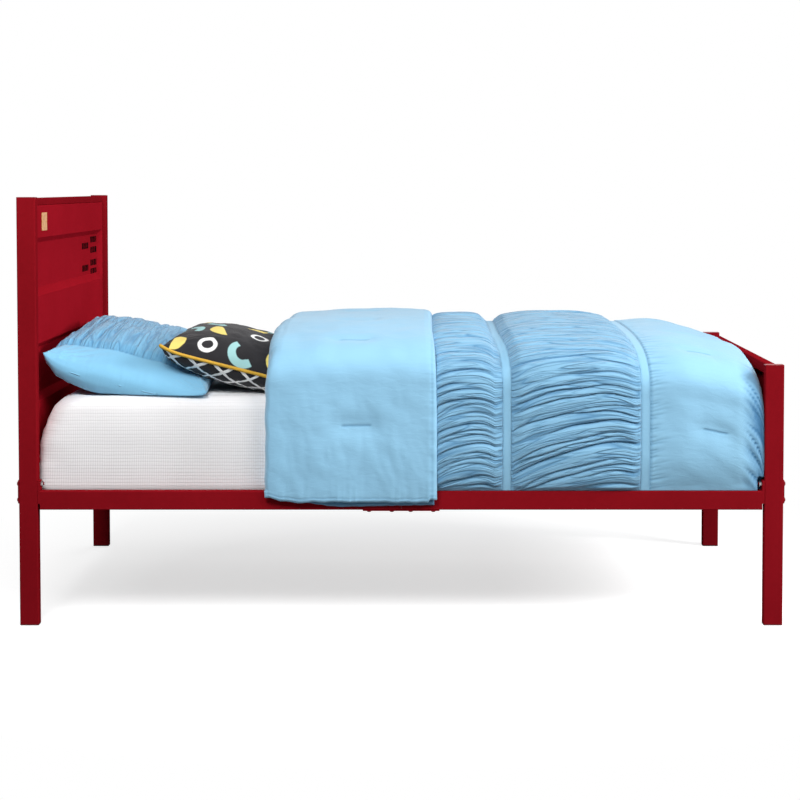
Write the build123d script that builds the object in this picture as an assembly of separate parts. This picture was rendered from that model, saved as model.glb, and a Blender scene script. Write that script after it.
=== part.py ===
"""Single bed: a welded steel headboard and footboard, side rails in two halves, steel slats,
a mattress, a comforter and two cushions.

Millimetres. X runs along the bed from head (-X) to foot (+X), Y across it, Z up. The origin is on the
floor under the middle of the frame. Right and left are those of a person who lies in the bed, so the
right side is -Y.
"""

from build123d import *
import math
import os

os.makedirs("parts", exist_ok=True)

# Mattress and the room that the frame leaves round it
mattress_length = 1905.0
mattress_width = 990.0
mattress_height = 260.0
mattress_corner = 45.0
end_room = 25.0
side_room = 13.0
headboard_gap = 4.0
soft_gap = 0.3

# Posts, which are the legs too
post_depth = 50.0
post_width = 30.0
post_wall = 1.5
post_corner = 3.0
headboard_height = 1140.0
footboard_height = 696.0
cap_head = 2.0
glide_head = 2.5
plug_depth = 14.0
plug_play = 0.4

# Cross rails between the posts
cross_rail_depth = 25.0
cross_rail_wall = 1.5
cross_rail_corner = 2.5
cross_rail_drop = 2.5
headboard_top_rail_height = 20.0
footboard_top_rail_height = 25.0
bottom_rail_height = 25.0
headboard_panel_bottom = 445.0

# Pressed panels
sheet = 1.5
panel_fold = 2.5
field_depth = 13.0
field_height = 157.0
field_pitch = 285.0
field_first_drop = 87.0
field_side_margin = 5.0
field_side_run = 18.0
field_top_run = 14.0
field_bottom_run = 20.0
field_edge = 3.0
footboard_field_drop = 78.0

# Side rails
rail_width = 25.0
rail_height = 50.0
rail_underside = 310.0
rail_wall = 1.5
rail_corner = 2.5

# Bolted corners
end_plate = 6.0
corner_plate = 3.0
corner_plate_width = 25.0
plate_height = 62.0
plate_above_rail = 28.0
corner_bolt_spacing = 43.0
corner_bolt_drop = 10.0
bolt_size = 8.0
bolt_head_width = 14.0
bolt_head_height = 4.4
bolt_socket = 5.0
nut_width = 13.0
nut_height = 6.5
hole_play = 0.5
thread_play = 0.15
bolt_end = 2.0

# Joint in the middle of each side rail
joining_plate = 3.0
joining_plate_length = 204.0
joining_bolt_inner = 25.0
joining_bolt_outer = 85.5
rail_butt_gap = 0.4

# Slats and the ledges that carry them
ledge_width = 24.0
ledge_leg = 18.0
ledge_sheet = 3.0
ledge_end_gap = 5.0
slat_count = 12
slat_width = 60.0
slat_height = 15.0
slat_end_gap = 1.0
slat_end_margin = 68.0
slat_seat = 330.0
groove_top = 24.0
groove_floor = 16.0
groove_depth = 4.5
screw_size = 5.0
screw_head_width = 9.5
screw_head_height = 3.2
screw_inset = 12.0
screw_below = 6.0

# Comforter: heights are above the mattress top, and overhangs are beyond the side rail's outer face
comforter_start = -362.0
fold_end = 96.0
comforter_foot_gap = 0.5
seam_crest = 153.0
puff = 26.0
foot_puff = 7.0
fold_crest = 186.0
band_1_at = 281.0
band_1_width = 22.0
band_2_at = 648.0
band_2_width = 24.0
shoulder_height = 150.0
shoulder_roundness = 3.0
side_belly = 4.0
side_overhang = 18.0
rail_rest_inset = 4.0
fold_overhang = 26.0
fold_hem = 27.0
foot_crest = 92.0
foot_tuck = 36.0

# Sleeping pillow, which leans on the headboard
pillow_length = 690.0
pillow_width = 450.0
pillow_crown = 76.0
pillow_belly = 56.0
pillow_tilt = 13.5
pillow_roll = 3.5
pillow_from_headboard = 20.0
pillow_from_right = 14.0

# Square cushion with piping, which leans on the pillow and runs under the comforter
cushion_side = 440.0
cushion_crown = 92.0
cushion_belly = 62.0
cushion_tilt = 14.2
cushion_centre_x = -438.0
cushion_from_right = 50.0
pocket_play = 5.0
dent_gap = 0.5
seam_edge = 2.0
side_draw_in = 0.06

# Places that follow from the sizes above
inner_half_length = (mattress_length + end_room) / 2
outer_half_length = inner_half_length + post_depth
rail_inner = mattress_width / 2 + side_room
rail_outer = rail_inner + rail_width
post_outer = rail_outer
post_inner = post_outer - post_width
post_centre_x = inner_half_length + post_depth / 2
post_centre_y = post_outer - post_width / 2
rail_top = rail_underside + rail_height
rail_centre_y = rail_inner + rail_width / 2
rail_end = inner_half_length - end_plate
cross_rail_face = post_centre_x - cross_rail_depth / 2
slat_top = slat_seat + slat_height
mattress_underside = slat_top + soft_gap
mattress_top = mattress_underside + mattress_height
mattress_head = -cross_rail_face + headboard_gap
mattress_foot = mattress_head + mattress_length
upper_bolt_z = rail_top + plate_above_rail - corner_bolt_drop
corner_bolt_heights = (upper_bolt_z - corner_bolt_spacing, upper_bolt_z)
plate_underside = rail_top + plate_above_rail - plate_height

sides = {"right": -1, "left": 1}
ends = {"head": -1, "foot": 1}


def save(name, shape):
    """Writes one piece, or one group of alike fasteners, to its own file."""
    if isinstance(shape, list):
        shape = Compound(children=shape)
    export_step(shape, f"parts/{name}.step")


def on_corner(shape, end, side):
    """Mirrors a shape made for the left foot corner to any corner."""
    if end < 0:
        shape = mirror(shape, about=Plane.YZ)
    if side < 0:
        shape = mirror(shape, about=Plane.XZ)
    return shape


def block(low, high):
    """A box between two opposite corners."""
    size = [b - a for a, b in zip(low, high)]
    middle = [(a + b) / 2 for a, b in zip(low, high)]
    return Pos(*middle) * Box(*size)


def tube(width, height, length, wall, corner):
    """A rectangular tube along Z from the origin, with rounded corners."""
    hollow_corner = max(corner - wall, wall / 4)
    outline = RectangleRounded(width, height, corner)
    hollow = RectangleRounded(width - 2 * wall, height - 2 * wall, hollow_corner)
    return extrude(outline - hollow, amount=length)


def cross_tube(height, underside):
    """A tube across the bed, between the inner faces of two posts."""
    profile = tube(cross_rail_depth, height, 2 * post_inner, cross_rail_wall, cross_rail_corner)
    lying = Rot(-90, 0, 0) * profile
    return Pos(post_centre_x, -post_inner, underside + height / 2) * lying


def across_x(radius, x_low, x_high, y, z):
    """A round bar along X."""
    bar = Cylinder(radius, x_high - x_low, rotation=(0, 90, 0))
    return Pos((x_low + x_high) / 2, y, z) * bar


def upright(radius, z_low, z_high, x, y):
    """A round bar along Z."""
    return Pos(x, y, (z_low + z_high) / 2) * Cylinder(radius, z_high - z_low)


def button_bolt(shank):
    """A bolt along Z: its domed head is above the origin and its shank below, with a hexagon socket."""
    head_radius = bolt_head_width / 2
    rim = bolt_head_height / 4
    dome_mid = (head_radius * 0.8, rim + (bolt_head_height - rim) * 0.62)
    flat = head_radius * 0.45
    outline = [
        Line((0, -shank), (bolt_size / 2, -shank)),
        Line((bolt_size / 2, -shank), (bolt_size / 2, 0)),
        Line((bolt_size / 2, 0), (head_radius, 0)),
        Line((head_radius, 0), (head_radius, rim)),
        ThreePointArc((head_radius, rim), dome_mid, (flat, bolt_head_height)),
        Line((flat, bolt_head_height), (0, bolt_head_height)),
        Line((0, bolt_head_height), (0, -shank)),
    ]
    bolt = revolve(Plane.XZ * make_face(outline), axis=Axis.Z)
    socket = extrude(RegularPolygon(bolt_socket / 2, 6, major_radius=False), amount=bolt_head_height)
    return bolt - Pos(0, 0, bolt_head_height * 0.4) * socket


def hexagon_nut():
    """A nut along Z, from the origin up."""
    hexagon = RegularPolygon(nut_width / 2, 6, major_radius=False)
    bore = Circle(bolt_size / 2 + thread_play)
    return extrude(hexagon - bore, amount=nut_height)


def make_posts():
    """The four posts with their bolt holes, caps and glides."""
    heights = {"head": headboard_height, "foot": footboard_height}
    cap_corner = post_corner
    for end, end_sign in ends.items():
        height = heights[end]
        length = height - cap_head - glide_head
        profile = tube(post_depth, post_width, length, post_wall, post_corner)
        post = Pos(post_centre_x, post_centre_y, glide_head) * profile
        for z in corner_bolt_heights:
            radius = bolt_size / 2 + hole_play
            post -= across_x(radius, inner_half_length - 1, outer_half_length + 1, post_centre_y, z)
        plug = extrude(
            Rectangle(
                post_depth - 2 * post_wall - 2 * plug_play,
                post_width - 2 * post_wall - 2 * plug_play,
            ),
            amount=plug_depth,
        )
        plug = fillet(plug.edges().filter_by(Axis.Z), post_corner - post_wall)
        cap = extrude(RectangleRounded(post_depth, post_width, cap_corner), amount=cap_head)
        cap = chamfer(cap.edges().group_by(Axis.Z)[-1], cap_head * 0.3)
        cap += Pos(0, 0, -plug_depth) * plug
        glide = extrude(RectangleRounded(post_depth, post_width, cap_corner), amount=glide_head)
        glide = chamfer(glide.edges().group_by(Axis.Z)[0], glide_head * 0.3)
        glide += Pos(0, 0, glide_head) * plug
        cap = Pos(post_centre_x, post_centre_y, height - cap_head) * cap
        glide = Pos(post_centre_x, post_centre_y, 0) * glide
        for side, side_sign in sides.items():
            save(f"{end}board_post_{side}", on_corner(post, end_sign, side_sign))
            save(f"{end}board_cap_{side}", on_corner(cap, end_sign, side_sign))
            save(f"{end}board_glide_{side}", on_corner(glide, end_sign, side_sign))


def make_cross_rails():
    """The tubes that run between the two posts of the headboard and of the footboard."""
    head_top = headboard_height - cross_rail_drop - headboard_top_rail_height
    foot_top = footboard_height - cross_rail_drop - footboard_top_rail_height
    bottom = headboard_panel_bottom - bottom_rail_height
    save("headboard_top_rail", on_corner(cross_tube(headboard_top_rail_height, head_top), -1, 1))
    save("headboard_bottom_rail", on_corner(cross_tube(bottom_rail_height, bottom), -1, 1))
    save("headboard_deck_rail", on_corner(cross_tube(rail_height, rail_underside), -1, 1))
    save("footboard_top_rail", cross_tube(footboard_top_rail_height, foot_top))
    save("footboard_deck_rail", cross_tube(rail_height, rail_underside))


def pressed_field(low, high, behind):
    """The space of one recessed field with four sloped walls, open towards +X.

    low and high are its edges on the raised face, which lies at X = 0. behind is how far the surface
    lies behind the sheet's front, measured square to it.
    """
    outside = 2.0
    floor = -(field_depth + behind)
    half = post_inner - field_side_margin

    def moved_edge(run, x):
        slope = run / field_depth
        return slope * x + behind * math.sqrt(1 + slope**2)

    def outline(x):
        top = high + moved_edge(field_top_run, x)
        bottom = low - moved_edge(field_bottom_run, x)
        width = 2 * (half + moved_edge(field_side_run, x))
        face = Pos(0, (top + bottom) / 2) * Rectangle(width, top - bottom)
        return Plane.YZ.offset(x) * face

    space = loft([outline(floor), outline(outside)], ruled=True)
    floor_edges = space.edges().group_by(Axis.X)[0]
    return fillet(floor_edges, field_edge + behind)


def panel_body(height, fields, behind):
    """The panel as a full block, with its fields, set back by behind from the sheet's front."""
    body = block(
        (-cross_rail_depth, -post_inner + behind, behind),
        (-behind, post_inner - behind, height - behind),
    )
    body = fillet(body.edges().group_by(Axis.X)[-1], panel_fold - behind * 0.9)
    for low, high in fields:
        body -= pressed_field(low, high, behind)
    return body


def pressed_panel(height, fields):
    """A folded steel panel that faces +X, with its raised face at X = 0 and its lower edge at Z = 0."""
    hollow = panel_body(height, fields, sheet)
    behind_edges = block(
        (-cross_rail_depth - 1, -post_inner + sheet, sheet),
        (-cross_rail_depth + 1, post_inner - sheet, height - sheet),
    )
    return panel_body(height, fields, 0) - hollow - behind_edges


def make_panels():
    """The headboard panel with two fields, and the footboard panel with one."""
    panel_top = headboard_height - cross_rail_drop - headboard_top_rail_height
    height = panel_top - headboard_panel_bottom
    tops = [height - field_first_drop - n * field_pitch for n in range(2)]
    fields = [(top - field_height, top) for top in tops]
    headboard = pressed_panel(height, fields)
    save("headboard_panel", Pos(-cross_rail_face, 0, headboard_panel_bottom) * headboard)

    panel_top = footboard_height - cross_rail_drop - footboard_top_rail_height
    height = panel_top - rail_top
    top = height - footboard_field_drop
    footboard = pressed_panel(height, [(top - field_height, top)])
    save("footboard_panel", Pos(cross_rail_face + cross_rail_depth, 0, rail_top) * footboard)


def slat_places():
    """The middle of each slat along the bed."""
    reach = rail_end - slat_end_margin
    return [-reach + 2 * reach * n / (slat_count - 1) for n in range(slat_count)]


def make_side_rails():
    """The half rails with their ledges, end plates, corner plates and joining plates."""
    start = rail_butt_gap / 2
    profile = tube(rail_height, rail_width, rail_end - start, rail_wall, rail_corner)
    rail = Pos(start, rail_centre_y, rail_underside + rail_height / 2) * (Rot(0, 90, 0) * profile)
    for x in (joining_bolt_inner, joining_bolt_outer):
        radius = bolt_size / 2 + hole_play
        low = rail_underside - 1
        rail -= upright(radius, low, rail_underside + rail_wall + 1, x, rail_centre_y)

    seat_low = slat_seat - ledge_sheet
    ledge_end = rail_end - ledge_end_gap
    flange = block((start, rail_inner - ledge_width, seat_low), (ledge_end, rail_inner, slat_seat))
    leg = block(
        (start, rail_inner - ledge_sheet, slat_seat - ledge_leg), (ledge_end, rail_inner, seat_low)
    )
    ledge = flange + leg
    for x in slat_places():
        if x > 0:
            hole = screw_size / 2 + hole_play / 2
            ledge -= upright(hole, seat_low - 1, slat_seat + 1, x, rail_inner - screw_inset)

    plate_top = plate_underside + plate_height
    plate = block((rail_end, rail_inner, plate_underside), (inner_half_length, rail_outer, plate_top))
    washer = Pos(outer_half_length + corner_plate / 2, post_centre_y, plate_underside + plate_height / 2)
    washer = washer * Box(corner_plate, corner_plate_width, plate_height)
    washer = fillet(washer.edges().filter_by(Axis.X), corner_plate_width / 6)
    for z in corner_bolt_heights:
        radius = bolt_size / 2 + hole_play
        plate -= across_x(radius, rail_end - 1, inner_half_length + 1, post_centre_y, z)
        reach = outer_half_length + corner_plate + 1
        washer -= across_x(radius, outer_half_length - 1, reach, post_centre_y, z)

    for end, end_sign in ends.items():
        for side, side_sign in sides.items():
            save(f"side_rail_{end}_{side}", on_corner(rail, end_sign, side_sign))
            save(f"slat_ledge_{end}_{side}", on_corner(ledge, end_sign, side_sign))
            save(f"end_plate_{end}_{side}", on_corner(plate, end_sign, side_sign))
            save(f"corner_plate_{end}_{side}", on_corner(washer, end_sign, side_sign))


def make_joining_plates():
    """The plate under the middle of each side rail, with its four bolts and the nuts inside the rail."""
    places = [s * d for s in (-1, 1) for d in (joining_bolt_inner, joining_bolt_outer)]
    middle_z = rail_underside - joining_plate / 2
    plate = Pos(0, rail_centre_y, middle_z) * Box(joining_plate_length, rail_width, joining_plate)
    plate = fillet(plate.edges().filter_by(Axis.Z), rail_width / 8)
    for x in places:
        low = rail_underside - joining_plate - 1
        plate -= upright(bolt_size / 2 + hole_play, low, rail_underside + 1, x, rail_centre_y)
    shank = joining_plate + rail_wall + nut_height + bolt_end
    bolt = Rot(180, 0, 0) * button_bolt(shank)
    bolts, nuts = [], []
    for side, side_sign in sides.items():
        save(f"joining_plate_{side}", on_corner(plate, 1, side_sign))
        for x in places:
            y = side_sign * rail_centre_y
            bolts.append(Pos(x, y, rail_underside - joining_plate) * bolt)
            nuts.append(Pos(x, y, rail_underside + rail_wall) * hexagon_nut())
    save("joining_bolts", bolts)
    save("joining_nuts", nuts)


def make_corner_bolts():
    """Two bolts through each post into nuts behind the rail's end plate."""
    shank = corner_plate + post_depth + end_plate + nut_height + bolt_end
    bolt = Rot(0, 90, 0) * button_bolt(shank)
    nut = Rot(0, -90, 0) * hexagon_nut()
    bolts, nuts = [], []
    for end_sign in ends.values():
        for side_sign in sides.values():
            for z in corner_bolt_heights:
                placed = Pos(outer_half_length + corner_plate, post_centre_y, z) * bolt
                bolts.append(on_corner(placed, end_sign, side_sign))
                placed = Pos(rail_end, post_centre_y, z) * nut
                nuts.append(on_corner(placed, end_sign, side_sign))
    save("corner_bolts", bolts)
    save("corner_nuts", nuts)


def slat_profile():
    """The slat's section: a channel that opens downwards, with a pressed groove along its top."""
    half = slat_width / 2
    slope = (groove_top - groove_floor) / 2 / groove_depth
    shift = sheet * (math.sqrt(1 + slope**2) - slope)
    top = slat_height
    low = slat_height - groove_depth
    right = [
        (groove_floor / 2, low),
        (groove_top / 2, top),
        (half, top),
        (half, 0),
        (half - sheet, 0),
        (half - sheet, top - sheet),
        (groove_top / 2 + shift, top - sheet),
        (groove_floor / 2 + shift, low - sheet),
    ]
    left = [(-x, z) for x, z in reversed(right)]
    return make_face(Polyline(*right, *left, close=True))


def make_slats():
    """The slats across the bed, and the screws that hold them to the ledges."""
    half = rail_inner - slat_end_gap
    screw_y = rail_inner - screw_inset
    floor = slat_seat + slat_height - groove_depth
    bar = extrude(slat_profile(), amount=2 * half)
    bar = Pos(0, half, slat_seat) * (Rot(90, 0, 0) * bar)
    for y in (-screw_y, screw_y):
        bar -= upright(screw_size / 2 + hole_play / 2, slat_seat, slat_top, 0, y)
    head = screw_head_width / 2
    shank = screw_size / 2
    tip = slat_seat - ledge_sheet - screw_below
    outline = Polyline(
        (0, tip - shank),
        (shank, tip),
        (shank, floor),
        (head, floor),
        (head, floor + screw_head_height * 0.6),
        (head * 0.6, floor + screw_head_height),
        (0, floor + screw_head_height),
        close=True,
    )
    screw = revolve(Plane.XZ * make_face(outline), axis=Axis.Z)
    screws = []
    for n, x in enumerate(slat_places(), start=1):
        save(f"slat_{n:02d}", Pos(x, 0, 0) * bar)
        screws += [Pos(x, y, 0) * screw for y in (-screw_y, screw_y)]
    save("slat_screws", screws)


def make_mattress():
    """A mattress whose upper edges are drawn in, more at its ends than at its sides."""
    # Share of the height, inset at each end, inset at each side
    levels = [
        (0.0, 8.0, 6.0),
        (0.06, 0.0, 0.0),
        (0.5, 0.0, 0.0),
        (0.75, 16.0, 5.0),
        (0.9, 38.0, 14.0),
        (0.975, 60.0, 28.0),
        (1.0, 86.0, 52.0),
    ]
    middle_x = (mattress_head + mattress_foot) / 2
    sections = []
    for share, end_inset, side_inset in levels:
        length = mattress_length - 2 * end_inset
        width = mattress_width - 2 * side_inset
        level = mattress_underside + share * mattress_height
        face = RectangleRounded(length, width, mattress_corner + side_inset / 2)
        sections.append(Pos(middle_x, 0, level) * face)
    mattress = loft(sections, ruled=True)
    save("mattress", mattress)
    return mattress


def drape_section(x, crest, base_half, base_z, side_half):
    """One section of the comforter across the bed: a nearly upright side under a squarish ellipse."""
    top = mattress_top + crest

    def shoulder(turn):
        across = math.cos(math.radians(turn)) ** (2 / shoulder_roundness)
        upwards = math.sin(math.radians(turn)) ** (2 / shoulder_roundness)
        return (side_half * across, top - shoulder_height * (1 - upwards))

    def other(point):
        return (-point[0], point[1])

    base = (base_half, base_z)
    side, tight, knee, easy, crown = [shoulder(turn) for turn in (0, 9, 20, 32, 47)]
    belly = (side_half + side_belly, (base_z + side[1]) / 2)
    right = [
        ThreePointArc(base, belly, side),
        ThreePointArc(side, tight, knee),
        ThreePointArc(knee, easy, crown),
    ]
    left = [
        ThreePointArc(other(crown), other(easy), other(knee)),
        ThreePointArc(other(knee), other(tight), other(side)),
        ThreePointArc(other(side), other(belly), other(base)),
    ]
    top_arc = ThreePointArc(crown, (0, top), other(crown))
    return Plane.YZ.offset(x) * make_face([*right, top_arc, *left, Line(other(base), base)])


def make_comforter():
    """The comforter: a double fold-over that hangs over the rails, two ruched parts between flat
    bands, and a foot end that is tucked in behind the mattress."""
    base_z = rail_top + soft_gap
    rest_half = rail_outer - rail_rest_inset
    side_half = rail_outer + side_overhang
    band_1 = (band_1_at - band_1_width / 2, band_1_at + band_1_width / 2)
    band_2 = (band_2_at - band_2_width / 2, band_2_at + band_2_width / 2)
    foot = inner_half_length - comforter_foot_gap
    low_side = side_half - 9

    def between(a, b, share):
        return a + (b - a) * share

    # Place, height of the crest, and half width of the sides
    stations = [(fold_end - 30, seam_crest, low_side)]
    for start, stop in ((fold_end - 4, band_1[0]), (band_1[1], band_2[0])):
        stations.append((start, seam_crest, low_side))
        stations.append((between(start, stop, 0.2), seam_crest + puff * 0.8, side_half))
        stations.append((between(start, stop, 0.5), seam_crest + puff, side_half))
        stations.append((between(start, stop, 0.8), seam_crest + puff * 0.8, side_half))
        stations.append((stop, seam_crest, low_side))
    stations.append((band_2[1], seam_crest, low_side))
    stations.append((between(band_2[1], foot, 0.2), seam_crest + foot_puff, side_half))
    stations.append((between(band_2[1], foot, 0.55), between(seam_crest, foot_crest, 0.15), side_half))
    stations.append((between(band_2[1], foot, 0.85), between(seam_crest, foot_crest, 0.54), low_side))
    body = loft([drape_section(x, c, rest_half, base_z, half) for x, c, half in stations], ruled=True)

    # The foot end narrows inside the end plates before it reaches the posts
    last_x, last_crest, last_half = stations[-1]
    narrow = rail_inner - 4
    tail = [
        drape_section(last_x, last_crest, rest_half, base_z, last_half),
        drape_section(rail_end - nut_height - 10, foot_crest + 18, narrow, base_z, narrow + 1),
        drape_section(foot, foot_crest - foot_tuck, narrow - 20, base_z, narrow - 24),
    ]
    body += loft(tail, ruled=True)

    hem_z = rail_top - fold_hem
    fold_half = rail_outer + fold_overhang
    folds = [
        (comforter_start, fold_crest - 52, fold_half - 12),
        (comforter_start + 12, fold_crest - 26, fold_half - 3),
        (comforter_start + 45, fold_crest - 10, fold_half),
        (between(comforter_start, fold_end, 0.6), fold_crest, fold_half),
        (fold_end - 30, fold_crest, fold_half),
        (fold_end - 6, fold_crest - 8, fold_half),
        (fold_end, fold_crest - 20, fold_half - 6),
    ]
    fold = loft([drape_section(x, c, half - 4, hem_z, half) for x, c, half in folds], ruled=True)
    clear_half = rail_outer + soft_gap
    clear_low = hem_z - 10
    fold -= block((comforter_start - 1, -clear_half, clear_low), (fold_end + 1, clear_half, base_z))
    body += fold

    room_half = mattress_width / 2 + soft_gap
    room_end = mattress_foot + soft_gap
    room_top = mattress_top + soft_gap
    body -= block((comforter_start - 1, -room_half, clear_low), (room_end, room_half, room_top))

    # A pocket round the part of the cushion that lies under the comforter
    place, cushion = cushion_in_place(dent_gap)
    slope = math.tan(math.radians(cushion_tilt))
    pocket_end = cushion_centre_x + cushion_side / 2 + pocket_play

    def seam_height(x):
        return place.position.Z - (x - cushion_centre_x) * slope

    pocket = make_face(
        Polyline(
            (comforter_start - 1, room_top - 1),
            (pocket_end, room_top - 1),
            (pocket_end, seam_height(pocket_end)),
            (comforter_start - 1, seam_height(comforter_start - 1)),
            close=True,
        )
    )
    cushion_right = -mattress_width / 2 + cushion_from_right
    span = cushion_side + 2 * pocket_play
    pocket = Plane.XZ.offset(-(cushion_right - pocket_play)) * extrude(pocket, amount=-span)
    save("comforter", body - pocket - cushion)


def soft_square(length, width, crown, belly, growth=0.0):
    """A cushion round the origin, grown all round: its length runs along Y, its seam in the XY plane."""
    length += 2 * growth
    width += 2 * growth
    crown += growth
    belly += growth
    rim = seam_edge + growth
    sections = []
    for share in (-1, -0.94, -0.8, -0.5, 0, 0.5, 0.8, 0.94, 1):
        fullness = max(1 - abs(share) ** 2.6, 0.0) ** 0.62
        half = width / 2 * (1 - side_draw_in * (1 - share**2))
        up = rim + (crown - rim) * fullness + seam_edge / 2
        down = rim + (belly - rim) * fullness + seam_edge / 2
        outline = [
            ThreePointArc((-half, rim), (0, up), (half, rim)),
            Line((half, rim), (half, -rim)),
            ThreePointArc((half, -rim), (0, -down), (-half, -rim)),
            Line((-half, -rim), (-half, rim)),
        ]
        face = Plane.XZ * make_face(outline)
        sections.append(Pos(0, share * length / 2, 0) * face)
    return loft(sections, ruled=True)


def lift_to_mattress(shape):
    """How far up a shape goes until its lowest point is just clear of the mattress."""
    below = Pos(0, 0, -mattress_width) * Rectangle(2 * mattress_length, 2 * mattress_length)
    lowest = shape.distance_to(below) - mattress_width
    return mattress_top + soft_gap - lowest


def cushion_in_place(growth):
    """The square cushion's place, and its shape there, grown all round."""

    def tilted(extra):
        shape = soft_square(cushion_side, cushion_side, cushion_crown, cushion_belly, extra)
        return Rot(0, cushion_tilt, 0) * shape

    plain = tilted(0)
    shift_y = -mattress_width / 2 + cushion_from_right - plain.bounding_box().min.Y
    place = Pos(cushion_centre_x, shift_y, lift_to_mattress(plain))
    return place, place * tilted(growth)


def make_pillows(mattress):
    """The sleeping pillow, dented where the square cushion leans on it, and that cushion."""
    pillow = soft_square(pillow_length, pillow_width, pillow_crown, pillow_belly)
    pillow = Rot(pillow_roll, pillow_tilt, 0) * pillow
    head_face = -cross_rail_face + pillow_from_headboard
    right_edge = -mattress_width / 2 + pillow_from_right
    box = pillow.bounding_box()
    lift = lift_to_mattress(pillow)
    pillow = Pos(head_face - box.min.X, right_edge - box.min.Y, lift) * pillow
    for _ in range(2):
        pillow = Pos(0, 0, soft_gap - pillow.distance_to(mattress)) * pillow
    save("pillow_blue", pillow - cushion_in_place(dent_gap)[1])
    save("cushion_print", cushion_in_place(0)[1])


make_posts()
make_cross_rails()
make_panels()
make_side_rails()
make_joining_plates()
make_corner_bolts()
make_slats()
make_comforter()
make_pillows(make_mattress())
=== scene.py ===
# %% [markdown]
# # A single bed with a red steel frame and a blue comforter
#
# The real bed is a powder coated frame of tubes and pressed sheet, and on it lie a mattress with a
# waffle cover, a thick comforter with gathered panels, a gathered pillow and a square cushion. The steel
# comes in finished, at its real size, from the CAD model. Blender's share is the cloth and the finishes,
# so this lesson is mostly about how fabric is cut, sewn, filled and laid. Everything is in metres: X runs
# from the headboard to the footboard, Y across the bed, and Z up from the floor.

# %% Load the frame
import bpy
import bmesh
import math
import numpy as np
from mathutils import Euler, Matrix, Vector
from mathutils.bvhtree import BVHTree


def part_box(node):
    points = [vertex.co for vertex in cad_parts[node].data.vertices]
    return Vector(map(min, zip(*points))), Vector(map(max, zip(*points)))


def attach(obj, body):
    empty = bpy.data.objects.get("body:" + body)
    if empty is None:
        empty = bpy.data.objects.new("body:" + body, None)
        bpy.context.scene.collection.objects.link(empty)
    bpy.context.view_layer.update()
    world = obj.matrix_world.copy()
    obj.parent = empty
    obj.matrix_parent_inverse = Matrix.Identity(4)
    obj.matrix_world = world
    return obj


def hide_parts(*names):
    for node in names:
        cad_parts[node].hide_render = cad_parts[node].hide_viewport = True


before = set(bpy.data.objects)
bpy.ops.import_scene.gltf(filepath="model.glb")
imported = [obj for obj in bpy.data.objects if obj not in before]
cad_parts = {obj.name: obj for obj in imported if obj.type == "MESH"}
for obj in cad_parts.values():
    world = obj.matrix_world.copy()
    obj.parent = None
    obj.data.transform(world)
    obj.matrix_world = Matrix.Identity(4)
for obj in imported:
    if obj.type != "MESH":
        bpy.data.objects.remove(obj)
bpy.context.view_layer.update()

# %% [markdown]
# ## Where the cloth lies
#
# Every soft piece rests on something made of steel or on the mattress, so its place is read from the
# frame's own boxes and not typed in twice. Only what a tape measure would find on the cloth itself, such
# as how far a hem hangs below the rail, is a number here.

# %% Places read from the frame
mattress_low, mattress_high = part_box("mattress")
_, rail_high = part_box("side_rail_foot_left")
comforter_low, comforter_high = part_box("comforter")
_, panel_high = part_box("headboard_panel")
mattress_top = mattress_high.z
rail_outer = rail_high.y
rail_top = rail_high.z
hair = 0.0006  # a gap too thin to see, between cloth and what it lies on
print("mattress top", round(mattress_top, 4), "rail top", round(rail_top, 4))

# %% [markdown]
# ## Camera
#
# The picture was taken from the right side of the bed, with a long lens at about the height of the
# headboard and shifted down, so that upright posts stay upright. A little of that shift is given as tilt
# here, which keeps the whole bed in the picture from other sides too.

# %% Camera
camera_data = bpy.data.cameras.new("camera")
camera_data.lens = 79.4
camera_data.sensor_width = 36.0
camera_data.shift_x = -0.0322
camera_data.shift_y = -0.1751
camera = bpy.data.objects.new("camera", camera_data)
camera.location = (0.0653, -5.1864, 1.1694)
camera.rotation_euler = (math.radians(90 - 2.4), 0, 0)
bpy.context.scene.collection.objects.link(camera)
bpy.context.scene.camera = camera
bpy.context.scene.view_settings.view_transform = "Standard"


# %% [markdown]
# ## Lamps
#
# Pale cloth is lit with big soft lamps, because a small one leaves a hard shadow in every crease. Two
# stand in front of the bed, one beyond its foot, one above it and a wide one behind. All of them are
# squares that point at the middle of the bed, so one function places them.


# %% Lamps
def soft_lamp(name, place, target, size, power):
    """A square area lamp that points at a target."""
    lamp = bpy.data.lights.new(name, "AREA")
    lamp.shape = "SQUARE"
    lamp.size = size
    lamp.energy = power
    holder = bpy.data.objects.new(name, lamp)
    holder.location = place
    holder.rotation_euler = (Vector(target) - Vector(place)).to_track_quat("-Z", "Y").to_euler()
    bpy.context.scene.collection.objects.link(holder)


bed_middle = (0.0, 0.0, 0.55)
soft_lamp("key", (-0.9, -2.7, 2.9), bed_middle, 1.3, 80)
soft_lamp("fill", (1.6, -2.8, 2.7), bed_middle, 1.4, 40)
soft_lamp("foot_side", (3.8, -1.2, 2.2), bed_middle, 1.3, 125)
soft_lamp("top", (0.4, 0.2, 3.8), bed_middle, 2.2, 5)
soft_lamp("back", (0.8, 3.8, 2.8), bed_middle, 2.6, 30)


# %% [markdown]
# ## Helpers for nodes
#
# A material is a small network of nodes. Each helper makes one kind of node and feeds it with plain
# values or with the outputs of other nodes, so that a finish further down reads like a recipe. Colours
# are written as a camera writes them, from 0 to 255, because that is how they were compared.


# %% Helpers for nodes
def feed(tree, value, socket):
    """Gives a socket a plain value, or links it to the output of another node."""
    if isinstance(value, bpy.types.NodeSocket):
        tree.links.new(value, socket)
    else:
        socket.default_value = value


def math_node(tree, operation, *values):
    """The result of one maths node."""
    node = tree.nodes.new("ShaderNodeMath")
    node.operation = operation
    for socket, value in zip(node.inputs, values):
        feed(tree, value, socket)
    return node.outputs[0]


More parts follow.
